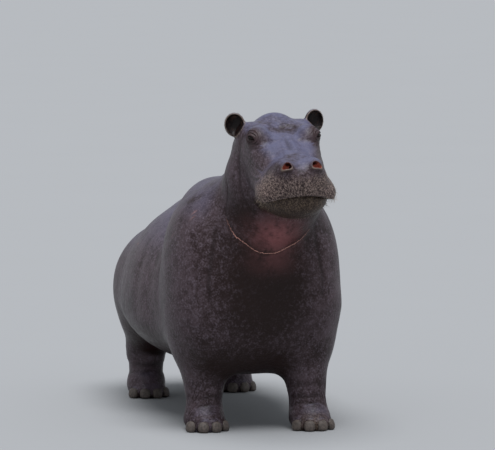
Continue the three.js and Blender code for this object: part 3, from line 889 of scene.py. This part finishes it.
def skinMarks(spots, normals):
    # shares from 0 to 1 that the hide's material reads, all by place on the animal
    p = columns(spots)
    s, f, u = toHead(p)
    q = toBody(p)
    reach, patch = markReach, colourSpots
    rise = u - mouthHeight(s, f)
    gate = ramp(f, *mouth["corner"])
    up = normals[:, 2]
    marks = {name: np.zeros(len(spots)) for name in ("warm", "inner", "deep", "rim", "ear")}

    def add(name, value):
        marks[name] = np.maximum(marks[name], value)

    # painted shade: darker in the narrow folds' grooves, along the mouth line and round the lid opening
    narrow = [fold for fold in folds if fold["width"] < reach["foldWidth"]]
    marks["fold"] = foldDepth(p, narrow) / reach["foldFull"]
    add("fold", band(rise, 0, reach["mouthLine"]) * gate * (f > reach["mouthFrom"]))
    marks["throat"] = gaussian(q, **patch["throat"]) + 0.2 * gaussian(q, **patch["underThroat"])
    marks["throat"] *= ramp(-normals[:, 1], *reach["facing"])
    stipple = ramp(f + 0.35 * np.maximum(0, -u - 12), *reach["muzzle"]) * ramp(-u, *reach["muzzleDown"])
    marks["muzzle"] = stipple * ramp(rise, *reach["muzzleLip"])
    marks["chin"] = ramp(f, *reach["chin"]) * ramp(-rise, *reach["chinLip"])
    # less of the chin's colour where it faces down, so the painted shade shows under the chin
    marks["chin"] *= 1 - 0.65 * ramp(-up, *reach["chinUnder"])
    # painted reflection: skin facing up takes a bluish sheen of the sky, strongest on the forehead and half as
    # strong on the body behind the neck
    marks["upper"] = ramp(up, *reach["upper"]) * (1 - 0.5 * ramp(q[1], *reach["neck"]))
    marks["upper"] += 1.2 * gaussian((s, f, u), **patch["forehead"]) * (up > 0)
    # painted shade: skin facing down, the front of the chest and the jowl are darker because they lie low and
    # away from the light; the hide there is also darker
    marks["shadeAndDarkHide"] = np.maximum(1.3 * gaussian(q, **patch["chest"]), ramp(-up, *reach["under"]))
    add("shadeAndDarkHide", gaussian((np.abs(s), f, u), **patch["jowl"]))
    for side in (1, -1):
        x, y, z = inSpot(eyeSpots[side], p)
        gap = np.sqrt(x * x + y * y + z * z)
        add("warm", 1 - ramp(gap, *reach["eye"]))
        # painted shade along the edge of the lid opening
        add("fold", band(lidOpening(x, z), 0.25, 0.35) * (y < 0) * (gap < reach["lidGap"]))
        hole = nostrilHole(p, side)
        add("warm", 0.55 * band(hole, *reach["nostrilWarm"]))
        add("inner", 1 - ramp(hole, *reach["nostrilInner"]))
        # painted shade deep in the nostril, next to the middle and under its roof
        x, y, z = inSpot(nostrilSpots[side], p)
        dark = np.maximum(ramp(-x * side, 0.2, 1.8), ramp(z, 0.9, 2.1))  # next the middle and under the roof
        add("deep", (1 - ramp(hole, *reach["nostrilDeep"])) * dark)
        add("rim", 0.8 * band(hole, *reach["nostrilRim"]) * ramp(-z, -0.8, 1.6))
        inEar = inSpot(earSpots[side], p)
        # the ear's hollow, coloured near-black as painted shade in the cup
        add("ear", 1 - ramp(earHollow(inEar), *reach["ear"]))
        add("rim", band(earHollow(inEar), *reach["earRim"]) * (inEar[1] < 0.5))
    marks["pale"], marks["line"] = creaseMarks(p, q[2])
    for scar in scars:
        add("pale", 0.9 * band(bar(q, scar["a"], scar["b"], (0, 0)), 0, scar["width"]))
    return {name: np.clip(value, 0, 1) for name, value in marks.items()}


def addAttribute(mesh, name, values):
    values = np.asarray(values, dtype=np.float32)
    mesh.attributes.new(name, "FLOAT", "POINT").data.foreach_set("value", values)


def addBakeMap(mesh):
    # unwraps the skin in the net's own space, where the head takes up more room
    spread = meshOf("unwrap", toNet(coordsOf(mesh)) * net["step"], [list(f.vertices) for f in mesh.polygons])
    copy = pieceOf("unwrap", spread, None)
    bpy.context.view_layer.objects.active = copy
    copy.select_set(True)
    bpy.ops.object.mode_set(mode="EDIT")
    bpy.ops.mesh.select_all(action="SELECT")
    bpy.ops.uv.smart_project(angle_limit=math.radians(66), island_margin=0.003, area_weight=0.0,
                             scale_to_bounds=False)
    bpy.ops.object.mode_set(mode="OBJECT")
    flat = readAll(spread.uv_layers.active.data, "uv", 2, np.float32).ravel()
    mesh.uv_layers.new(name="OFBake").data.foreach_set("uv", flat)
    bpy.data.objects.remove(copy)
    bpy.data.meshes.remove(spread)


class Wire:
    # one output socket of a node tree, used in sums as a number is
    def __init__(self, tree, socket=None):
        self.tree = tree
        self.socket = socket

    def node(self, kind, settings, inputs, output=0):
        made = self.tree.nodes.new(kind)
        for name, value in settings.items():
            setattr(made, name, value)
        for key, value in inputs.items():
            if isinstance(value, Wire):
                self.tree.links.new(value.socket, made.inputs[key])
            else:
                made.inputs[key].default_value = value
        return Wire(self.tree, made.outputs[output])

    def sum(self, operation, a, b):
        return self.node("ShaderNodeMath", {"operation": operation}, {0: a, 1: b})

    def __add__(self, other):
        return self.sum("ADD", self, other)

    def __sub__(self, other):
        return self.sum("SUBTRACT", self, other)

    def __rsub__(self, other):
        return self.sum("SUBTRACT", other, self)

    def __mul__(self, other):
        return self.sum("MULTIPLY", self, other)

    __radd__ = __add__
    __rmul__ = __mul__

    def least(self, other):
        return self.sum("MINIMUM", self, other)

    def most(self, other):
        return self.sum("MAXIMUM", self, other)

    def ramp(self, low, high):
        # 0 below low and 1 above high, smooth between
        return self.node("ShaderNodeMapRange", {"interpolation_type": "SMOOTHSTEP"}, {0: self, 1: low, 2: high})

    def mix(self, low, high):
        # this share of the colour high over the colour low
        low, high = (colour if isinstance(colour, Wire) else (*colour, 1) for colour in (low, high))
        return self.node("ShaderNodeMix", {"data_type": "RGBA"}, {0: self, 6: low, 7: high}, 2)

    def noise(self, scale, detail=3.0, roughness=0.55):
        return self.node("ShaderNodeTexNoise", {},
                         {"Vector": self, "Scale": scale, "Detail": detail, "Roughness": roughness})

    def cells(self, scale, feature="F1"):
        return self.node("ShaderNodeTexVoronoi", {"feature": feature}, {"Vector": self, "Scale": scale})

    def mark(self, name):
        return self.node("ShaderNodeAttribute", {"attribute_name": name}, {}, 2)


def newMaterial(name, **fixed):
    # a material, its shader, a wire for attributes and one for the place on the object
    material = bpy.data.materials.new(name)
    material.use_nodes = True
    tree = material.node_tree
    shader = tree.nodes["Principled BSDF"]
    for key, value in fixed.items():
        shader.inputs[key.replace("_", " ")].default_value = value
    wire = Wire(tree)
    return material, wire, shader, wire.node("ShaderNodeTexCoord", {}, {}, 3)


def plug(shader, name, wire):
    wire.tree.links.new(wire.socket, shader.inputs[name])


def plugBump(shader, height, distance, strength=1.0):
    bump = height.node("ShaderNodeBump", {}, {"Height": height, "Distance": distance, "Strength": strength})
    plug(shader, "Normal", bump)


# Colours of the hide and its marks. Some stand in for light: the pale colour gives painted glints, the bluish
# one a painted sky reflection on skin facing up, the darkest browns painted shade on the underside, chest and
# jowl (over darker hide) and in creases, and the near-black one painted shade in the ear's cup and the
# nostrils.
hideLook = {
    "deep": (0.022, 0.012, 0.013), "mid": (0.074, 0.051, 0.060), "pale": (0.190, 0.160, 0.200),
    "skySheen": (0.090, 0.092, 0.154), "shadeAndDarkHide": (0.015, 0.006, 0.005), "throat": (0.325, 0.118, 0.122),
    "muzzleDark": (0.026, 0.015, 0.016), "muzzleTan": (0.255, 0.190, 0.168), "chin": (0.024, 0.014, 0.009),
    "chinTan": (0.150, 0.105, 0.070), "warm": (0.044, 0.026, 0.028), "inner": (0.420, 0.125, 0.085),
    "ear": (0.006, 0.003, 0.003), "earWarm": (0.070, 0.030, 0.018), "rim": (0.240, 0.185, 0.140),
    "fold": (0.012, 0.006, 0.006), "scar": (0.620, 0.310, 0.250),
    # patterns per metre, from the broadest to the finest
    "patches": 3.2, "mottles": 13, "drift": 16, "blotches": 42, "cracks": 62, "grit": 105, "pebbles": 150,
    "speckle": 190, "driftReach": 0.045, "creaseWidth": 1.9, "bump": 0.006, "roughness": (0.33, 0.55),
}


def hideMaterial():
    look = hideLook
    material, wire, shader, place = newMaterial("hide", IOR=1.38, Specular_IOR_Level=0.34)
    patches = place.noise(look["patches"], 4)
    mottles = place.noise(look["mottles"], 5, 0.6)
    blotches = place.noise(look["blotches"], 4, 0.65)
    grit = place.noise(look["grit"], 3, 0.6)
    fine = place.noise(look["speckle"], 3, 0.6)
    pebbles = place.cells(look["pebbles"])
    drift = place.node("ShaderNodeTexNoise", {}, {"Vector": place, "Scale": look["drift"], "Detail": 3.0}, 1)
    shift = drift.node("ShaderNodeVectorMath", {"operation": "SCALE"}, {0: drift, 3: look["driftReach"]})
    warped = place.node("ShaderNodeVectorMath", {"operation": "ADD"}, {0: place, 1: shift})
    cracks = (1 - warped.cells(look["cracks"], "DISTANCE_TO_EDGE").ramp(0.0, 0.07)) * patches.ramp(0.42, 0.60)
    names = ("fold", "throat", "muzzle", "chin", "upper", "shadeAndDarkHide", "warm", "inner", "deep", "rim", "ear", "pale",
             "line")
    mark = {name: wire.mark(name) for name in names}
    blend = patches * 0.35 + mottles * 0.35 + blotches * 0.30
    colour = (blend * 0.75 + grit * 0.25).ramp(0.40, 0.58).mix(look["deep"], look["mid"])
    # painted shade on the underside, the chest and the jowl, over darker hide
    colour = (mark["shadeAndDarkHide"] * (1.4 - blotches.ramp(0.4, 0.7) * 0.5)).least(1.0).mix(colour, look["shadeAndDarkHide"])
    # painted bluish sky reflection on skin facing up
    colour = (mark["upper"] * (blend * 0.7 + patches * 0.3).ramp(0.32, 0.53)).mix(colour, look["skySheen"])
    # painted highlights: pale glints of wet skin, fewer where shade is painted
    glints = (blotches * 0.4 + grit * 0.6).ramp(0.48, 0.68)
    colour = (glints * (0.42 - mark["shadeAndDarkHide"] * 0.36)).mix(colour, look["pale"])
    colour = (mark["throat"] * blend.ramp(0.34, 0.58)).mix(colour, look["throat"])
    grain = (fine * 0.5 + grit * 0.5).ramp(0.43, 0.61)
    stipple = grain.mix(look["muzzleDark"], look["muzzleTan"])
    colour = (mark["muzzle"] + mottles * 0.8 - 0.45).ramp(0.05, 1.0).mix(colour, stipple)
    colour = (mark["chin"] * 0.85).mix(colour, grain.mix(look["chin"], look["chinTan"]))
    colour = (mark["warm"] * (0.65 + blend.ramp(0.34, 0.56) * 0.35)).mix(colour, look["warm"])
    # painted shade in creases: the folds, the mouth line, the lid edge and the fine crack network are darkened
    colour = ((cracks * 0.16).most(mark["fold"] * 0.85)).mix(colour, look["fold"])
    across = (mark["line"] - 0.5) * (2 * markReach["creaseSpan"])
    thread = (1.2 - across * across * look["creaseWidth"]).ramp(0.0, 1.0)
    colour = (mark["pale"] * thread * fine.ramp(0.34, 0.54)).mix(colour, look["scar"])
    colour = (mark["rim"] * 0.8).mix(colour, look["rim"])
    # painted shade: the inside of the ear's cup is near-black, with warm brown blotches for its hairs
    colour = mark["ear"].mix(colour, (blotches.ramp(0.52, 0.72) * 0.6).mix(look["ear"], look["earWarm"]))
    colour = mark["inner"].mix(colour, look["inner"])
    # painted shade deep in the nostrils, in the near-black colour
    colour = mark["deep"].mix(colour, look["ear"])
    plug(shader, "Base Color", colour)
    low, high = look["roughness"]
    plug(shader, "Roughness", low + (high - low) * (blotches.ramp(0.35, 0.65) * 0.6 + mark["muzzle"] * 0.4))
    height = mottles * 0.80 + blotches * 0.50 + grit * 0.16 + fine * 0.12 + pebbles * 0.10 - cracks * 0.07
    plugBump(shader, height, look["bump"], 0.9)
    return material


eyeLook = {"iris": (0.014, 0.006, 0.004), "rim": (0.005, 0.003, 0.002), "white": (0.016, 0.008, 0.007),
           "pupil": (0.004, 0.003, 0.003), "irisReach": 0.60, "pupilSize": (0.34, 0.15), "streaks": 420,
           "segments": 48, "rings": 32}


def eyeMaterial():
    look = eyeLook
    material, wire, shader, place = newMaterial("eye", Roughness=0.22, IOR=1.34, Specular_IOR_Level=0.3,
                                                Coat_Roughness=0.04)
    ring, slit = wire.mark("ring"), wire.mark("slit")
    streaks = place.noise(look["streaks"], 2)
    iris = (streaks * ring.ramp(0.1, 0.5)).mix(look["iris"], look["rim"])
    colour = ring.ramp(look["irisReach"] - 0.05, look["irisReach"] + 0.04).mix(iris, look["white"])
    colour = (1 - slit.ramp(0.9, 1.1)).mix(colour, look["pupil"])
    plug(shader, "Base Color", colour)
    plug(shader, "Coat Weight", 0.05 + streaks * 0.08)
    plugBump(shader, streaks, 0.0002, 0.3)
    return material


def eyePiece(side, name):
    # a ball turned to its gaze, with the ring and the pupil's slit measured from it
    radius = eye["radius"] * headUnit
    work = bmesh.new()
    bmesh.ops.create_uvsphere(work, u_segments=eyeLook["segments"], v_segments=eyeLook["rings"], radius=radius)
    gaze = eyeSpots[side] @ turned(90, "X")
    mesh = bpy.data.meshes.new(name)
    spots = np.array([tuple(v.co) for v in work.verts]) / radius
    ring = np.arccos(np.clip(spots[:, 2], -1, 1)) / (math.pi / 2)
    wide, high = eyeLook["pupilSize"]
    slit = np.sqrt((spots[:, 0] / wide) ** 2 + (spots[:, 1] / high) ** 2) + (spots[:, 2] < 0) * 9
    for v in work.verts:
        v.co = gaze @ v.co
    work.to_mesh(mesh)
    work.free()
    addAttribute(mesh, "ring", ring)
    addAttribute(mesh, "slit", slit)
    piece = pieceOf(name, mesh, eyeSurface)
    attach(piece, "root")
    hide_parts(name)


# Streaks run down a nail and bands across it.
hoofLook = {"dark": (0.034, 0.026, 0.023), "pale": (0.125, 0.098, 0.082), "streaks": 7, "bands": 26,
            "roughness": (0.42, 0.7)}


def hoofMaterial():
    look = hoofLook
    material, wire, shader, place = newMaterial("hoof", IOR=1.5)
    grow, across = wire.mark("grow"), wire.mark("across")
    streaks = across.node("ShaderNodeTexNoise", {"noise_dimensions": "1D"},
                          {"W": across * look["streaks"], "Scale": 3.0, "Detail": 4.0})
    bands = grow.sum("SINE", grow * look["bands"] + streaks * 3, 0.0) * 0.5 + 0.5
    mottles = place.noise(90, 4)
    tone = streaks * 0.55 + mottles * 0.45
    colour = tone.ramp(0.38, 0.62).mix(look["dark"], look["pale"])
    colour = (bands * 0.25).mix(colour, look["dark"])
    plug(shader, "Base Color", colour)
    low, high = look["roughness"]
    plug(shader, "Roughness", low + (high - low) * tone)
    plugBump(shader, bands * 0.35 + streaks * 0.9 + mottles * 0.4, 0.0012)
    return material


def nailMesh():
    # every nail is a squared oval shell, flat underneath just above the floor
    spots, faces, grow, across = [], [], [], []
    power = 2 / nails["power"]
    for spot in nailFrames:
        start = len(spots)
        count = nails["rings"], nails["sides"]
        for i in range(count[0] + 1):
            t = math.pi * i / count[0] - math.pi / 2
            for j in range(count[1]):
                a = 2 * math.pi * j / count[1]
                flat = abs(math.cos(t)) ** power if 0 < i < count[0] else 0
                x = flat * math.copysign(abs(math.cos(a)) ** power, math.cos(a)) * nails["size"][0]
                y = flat * math.copysign(abs(math.sin(a)) ** power, math.sin(a)) * nails["size"][1]
                z = math.copysign(abs(math.sin(t)) ** power, math.sin(t)) * nails["size"][2]
                place = spot @ Vector((x * bodyUnit, (y - nails["proud"]) * bodyUnit, z * bodyUnit))
                place.z = max(place.z, nails["sole"])
                spots.append(tuple(place))
                grow.append(z / nails["size"][2])
                across.append(x / nails["size"][0])
        for i in range(count[0]):
            for j in range(count[1]):
                k = (j + 1) % count[1]
                a, b = start + i * count[1], start + (i + 1) * count[1]
                faces.append((a + j, a + k, b + k, b + j))
    mesh = meshOf("hooves", spots, faces)
    addAttribute(mesh, "grow", grow)
    addAttribute(mesh, "across", across)
    work = bmesh.new()
    work.from_mesh(mesh)
    bmesh.ops.remove_doubles(work, verts=work.verts, dist=1e-5)
    bmesh.ops.dissolve_degenerate(work, edges=work.edges, dist=1e-6)
    bmesh.ops.recalc_face_normals(work, faces=work.faces)
    work.to_mesh(mesh)
    work.free()
    return mesh


bristleLook = {"root": (0.150, 0.105, 0.080), "tip": (0.520, 0.430, 0.310), "dark": (0.035, 0.026, 0.024)}
rootDepth = 0.001  # metres each hair starts below the skin
patchSize = 0.003  # width of a hair's patch on the bake map


def bristleMaterial():
    look = bristleLook
    material, wire, shader, place = newMaterial("bristle", Roughness=0.45, IOR=1.5)
    fine = place.noise(600, 2)
    colour = (wire.mark("tip") * (0.6 + fine * 0.6)).least(1.0).mix(look["root"], look["tip"])
    colour = wire.mark("dark").mix(colour, look["dark"])
    plug(shader, "Base Color", colour)
    plugBump(shader, fine, 0.0001)
    return material


def bristleNodes():
    # stands a bent, tapered hair on every root, then makes the lot real
    tree = bpy.data.node_groups.new("bristles", "GeometryNodeTree")
    kinds = {"Roots": "Geometry", "Thickness": "Float", "Bend": "Float", "Spread": "Float", "Seed": "Int",
             "Material": "Material"}
    for name, kind in kinds.items():
        tree.interface.new_socket(name, in_out="INPUT", socket_type="NodeSocket" + kind)
    tree.interface.new_socket("Bristles", in_out="OUTPUT", socket_type="NodeSocketGeometry")
    start, end = tree.nodes.new("NodeGroupInput"), tree.nodes.new("NodeGroupOutput")
    roots, thickness, bend, spread, seed, material = (Wire(tree, start.outputs[name]) for name in kinds)
    node = Wire(tree).node
    cone = node("GeometryNodeMeshCone", {"fill_type": "NONE"},
                {"Vertices": 3, "Side Segments": 4, "Radius Top": 0.12, "Radius Bottom": 1.0, "Depth": 1.0})
    narrow = node("ShaderNodeCombineXYZ", {}, {0: thickness, 1: thickness, 2: 1.0})
    thin = node("GeometryNodeTransform", {}, {"Geometry": cone, "Scale": narrow})
    height = node("ShaderNodeSeparateXYZ", {}, {0: node("GeometryNodeInputPosition", {}, {})}, 2)
    offset = node("ShaderNodeCombineXYZ", {}, {0: height * height * bend})
    bent = node("GeometryNodeSetPosition", {}, {"Geometry": thin, "Offset": offset})
    tipped = node("GeometryNodeStoreNamedAttribute", {"data_type": "FLOAT", "domain": "POINT"},
                  {"Geometry": bent, "Name": "tip", "Value": height})
    lie = node("GeometryNodeInputNamedAttribute", {"data_type": "FLOAT_VECTOR"}, {"Name": "lie"})
    length = node("GeometryNodeInputNamedAttribute", {"data_type": "FLOAT"}, {"Name": "length"})
    stray = node("FunctionNodeRandomValue", {"data_type": "FLOAT_VECTOR"},
                 {0: (-1, -1, -1), 1: (1, 1, 1), "Seed": seed})
    stray = node("ShaderNodeVectorMath", {"operation": "SCALE"}, {0: stray, 3: spread})
    aimed = node("ShaderNodeVectorMath", {"operation": "ADD"}, {0: lie, 1: stray})
    aim = node("FunctionNodeAlignRotationToVector", {"axis": "Z"}, {"Vector": aimed})
    spin = node("FunctionNodeRandomValue", {"data_type": "FLOAT"}, {2: 0.0, 3: 2 * math.pi, "Seed": seed}, 1)
    turn = node("FunctionNodeAxisAngleToRotation", {}, {"Axis": (0, 0, 1), "Angle": spin})
    aim = node("FunctionNodeRotateRotation", {"rotation_space": "LOCAL"}, {"Rotation": aim, "Rotate By": turn})
    stood = node("GeometryNodeInstanceOnPoints", {},
                 {"Points": roots, "Instance": tipped, "Rotation": aim, "Scale": length})
    tufted = node("GeometryNodeStoreNamedAttribute", {"data_type": "INT", "domain": "INSTANCE"},
                  {"Geometry": stood, "Name": "tuft", "Value": node("GeometryNodeInputIndex", {}, {})})
    real = node("GeometryNodeRealizeInstances", {}, {"Geometry": tufted})
    made = node("GeometryNodeSetMaterial", {}, {"Geometry": real, "Material": material})
    tree.links.new(made.socket, end.inputs[0])
    return tree


def rootsOf(mesh, weightOf, count, seed):
    # places, normals and bake-map places of hairs, drawn over the skin's triangles by weight
    mesh.calc_loop_triangles()
    loops = readAll(mesh.loop_triangles, "loops", 3, np.int32)
    spots = coordsOf(mesh)[cornersOf(mesh)[loops]]
    across = np.cross(spots[:, 1] - spots[:, 0], spots[:, 2] - spots[:, 0])
    area = np.linalg.norm(across, axis=1)
    weight = area * weightOf(columns(spots.mean(1)), across / (area[:, None] + 1e-12))
    rng = np.random.default_rng(seed)
    picked = rng.choice(len(weight), count, p=weight / weight.sum())
    a, b = np.sqrt(rng.random(count)), rng.random(count)
    shares = np.stack([1 - a, a * (1 - b), a * b], 1)[:, :, None]
    layer = readAll(mesh.uv_layers["OFBake"].data, "uv", 2, np.float32)
    patch = (layer[loops[picked]] * shares).sum(1)
    normal = across[picked] / area[picked][:, None]
    return (spots[picked] * shares).sum(1), normal, patch, rng


def bristlePiece(name, look):
    # one piece from several sets of roots, each with its own lengths and lie
    places, lies, lengths, patches, dark = [], [], [], [], []
    for one in look["sets"]:
        spots, normals, patch, rng = rootsOf(skinData, one["where"], one["count"], one["seed"])
        places.append(spots - normals * rootDepth)
        lies.append(normals + np.array(one["lie"]))
        lengths.append(rng.uniform(*one["length"], len(spots)))
        patches.append(patch)
        dark.append(np.full(len(spots), one.get("dark", 0.0)))
    base = meshOf(name + "Roots", np.concatenate(places), [])
    lies = np.concatenate(lies).astype(np.float32).ravel()
    base.attributes.new("lie", "FLOAT_VECTOR", "POINT").data.foreach_set("vector", lies)
    addAttribute(base, "length", np.concatenate(lengths))
    addAttribute(base, "dark", np.concatenate(dark))
    holder = placed(name + "Roots", base)
    modifier = holder.modifiers.new("bristles", "NODES")
    modifier.node_group = hairGroup
    sockets = {item.name: item.identifier for item in hairGroup.interface.items_tree if item.in_out == "INPUT"}
    for key in ("Thickness", "Bend", "Spread", "Seed"):
        modifier[sockets[key]] = look[key.lower()]
    modifier[sockets["Material"]] = bristleSurface
    mesh = bpy.data.meshes.new_from_object(holder.evaluated_get(bpy.context.evaluated_depsgraph_get()))
    mesh.name = name
    bpy.data.objects.remove(holder)
    tuft = readAll(mesh.attributes["tuft"].data, "value", kind=np.int32)
    tip = readAll(mesh.attributes["tip"].data, "value", kind=np.float32)
    around = (np.arange(len(mesh.vertices)) % 3) / 3
    patch = np.concatenate(patches)[tuft] + patchSize * np.stack([tip - 0.5, around - 0.33], 1)
    while mesh.uv_layers:
        mesh.uv_layers.remove(mesh.uv_layers[0])
    patch = patch[cornersOf(mesh)].astype(np.float32).ravel()
    mesh.uv_layers.new(name="OFBake").data.foreach_set("uv", patch)
    piece = pieceOf(name, mesh, bristleSurface)
    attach(piece, "root")
    mesh.calc_loop_triangles()
    print(name, len(mesh.loop_triangles), "triangles")


# Where hairs grow and how thickly, from 0 to 1: in head units on the head, in body units on the tail.
def onMuzzle(p, normals):
    s, f, u = toHead(p)
    rise = u - mouthHeight(s, f)
    return ramp(f, 34, 46) * (rise > 1) * (rise < 17) * (normals[:, 1] < 0.3)


def onLipCorners(p, normals):
    s, f, u = toHead(p)
    return np.exp(-((np.abs(s) - 25) / 3.5) ** 2 - ((f - 41) / 6) ** 2 - ((u + 36) / 4) ** 2)


def onChin(p, normals):
    s, f, u = toHead(p)
    return ramp(f, 30, 44) * (u < mouthHeight(s, f) - 2) * (u > -47)


def onEarRims(p, normals):
    total = np.zeros(p[0].shape)
    for side in (1, -1):
        x, y, z = inSpot(earSpots[side], p)
        around = np.sqrt((x / ear["cup"][0]) ** 2 + (z / ear["cup"][2]) ** 2)
        total += (np.abs(earCup((x, y, z))) < 0.8) * ramp(around, 0.82, 0.94) * (y < 0.6)
    return total


def onTailTip(p, normals):
    q = toBody(p)
    return (q[1] > 86) * ramp(-q[2], -52, -44) * (np.abs(q[0]) < 6)


# Thickness and bend are shares of a hair's length; lengths are in metres.
whiskers = {
    "thickness": 0.026, "bend": 0.35, "spread": 0.35, "seed": 3,
    "sets": [
        {"where": onMuzzle, "count": 420, "seed": 11, "length": (0.007, 0.019), "lie": (0, -0.2, -0.35)},
        {"where": onLipCorners, "count": 130, "seed": 12, "length": (0.014, 0.034), "lie": (0, -0.3, -0.5)},
        {"where": onChin, "count": 180, "seed": 13, "length": (0.008, 0.018), "lie": (0, -0.2, -0.5)},
    ],
}
earFringe = {
    "thickness": 0.030, "bend": 0.25, "spread": 0.3, "seed": 5,
    "sets": [{"where": onEarRims, "count": 420, "seed": 14, "length": (0.004, 0.009), "lie": (0, -0.3, 0.3)}],
}
tailBristles = {
    "thickness": 0.014, "bend": 0.2, "spread": 0.22, "seed": 7,
    "sets": [{"where": onTailTip, "count": 260, "seed": 15, "length": (0.035, 0.075), "lie": (0, 0.1, -1.1),
              "dark": 0.85}],
}

hideSurface, eyeSurface = hideMaterial(), eyeMaterial()
hoofSurface, bristleSurface = hoofMaterial(), bristleMaterial()

skinData = skinMesh()
addBakeMap(skinData)
skinData.update()
for name, values in skinMarks(coordsOf(skinData), readAll(skinData.vertices, "normal", 3)).items():
    addAttribute(skinData, name, values)
skin = pieceOf("skin", skinData, hideSurface)
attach(skin, "root")
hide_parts("head", "lower_jaw", "neck", "trunk", "tail", "ear_left", "ear_right", "leg_front_left",
            "leg_front_right", "leg_hind_left", "leg_hind_right")
skinData.calc_loop_triangles()
print("skin", len(skinData.loop_triangles), "triangles")

for side, name in ((1, "eye_left"), (-1, "eye_right")):
    eyePiece(side, name)
hooves = pieceOf("hooves", nailMesh(), hoofSurface)
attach(hooves, "root")
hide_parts(*[f"hoof_{leg}_{i + 1}" for leg in legs for i in range(4)])
print("eyes and hooves done")

hairGroup = bristleNodes()
for name, look in (("whiskers", whiskers), ("ear_fringe", earFringe), ("tail_bristles", tailBristles)):
    bristlePiece(name, look)

stageLook = {"size": 400, "world": (0.47, 0.49, 0.52), "sun": 3.3, "sunAngle": 40,
             "sunColour": (1.0, 1.0, 1.02), "sunAim": (0.04, 0.30, -1.0)}


def stageSet():
    material, wire, shader, place = newMaterial("floor", Roughness=0.9, Specular_IOR_Level=0.0)
    # the floor's colour makes it as bright as the world behind it, so no horizon shows
    down = Vector(stageLook["sunAim"]).normalized().z
    lit = [sky - stageLook["sun"] * tint * down / math.pi
           for sky, tint in zip(stageLook["world"], stageLook["sunColour"])]
    colour = tuple(w / total for w, total in zip(stageLook["world"], lit))
    plug(shader, "Base Color", place.noise(0.6, 2).mix(colour, tuple(v * 1.02 for v in colour)))
    half = stageLook["size"] / 2
    corners = [(-half, -half, 0), (half, -half, 0), (half, half, 0), (-half, half, 0)]
    floor = pieceOf("floor", meshOf("floor", corners, [(0, 1, 2, 3)]), material, smooth=False)
    world = bpy.data.worlds.new("world")
    world.use_nodes = True
    world.node_tree.nodes["Background"].inputs["Color"].default_value = (*stageLook["world"], 1)
    bpy.context.scene.world = world
    bpy.context.scene.view_settings.view_transform = "Standard"


def lightSet():
    lamp = bpy.data.lights.new("sun", "SUN")
    lamp.energy = stageLook["sun"]
    lamp.color = stageLook["sunColour"]
    lamp.angle = math.radians(stageLook["sunAngle"])
    placed("sun", lamp).rotation_euler = Vector(stageLook["sunAim"]).to_track_quat("-Z", "Y").to_euler()


cameraLook = {"azimuth": -15, "elevation": 5, "distance": 18, "frameWidth": 2.574,
              "right": -0.187, "up": -0.455}


def cameraSet():
    # the picture's middle lies this far right of and above the point between the eyes, in metres
    az, el = math.radians(cameraLook["azimuth"]), math.radians(cameraLook["elevation"])
    back = Vector((math.sin(az) * math.cos(el), -math.cos(az) * math.cos(el), math.sin(el)))
    right = Vector((math.cos(az), math.sin(az), 0))
    middle = headTurn.translation + right * cameraLook["right"] + right.cross(-back) * cameraLook["up"]
    lens = bpy.data.cameras.new("camera")
    lens.sensor_width = 36
    lens.lens = 36 * cameraLook["distance"] / cameraLook["frameWidth"]
    lens.clip_end = 600
    holder = placed("camera", lens)
    holder.location = middle + back * cameraLook["distance"]
    holder.rotation_euler = (-back).to_track_quat("-Z", "Y").to_euler()
    bpy.context.scene.camera = holder


stageSet()
lightSet()
cameraSet()
print("floor, light and camera done")
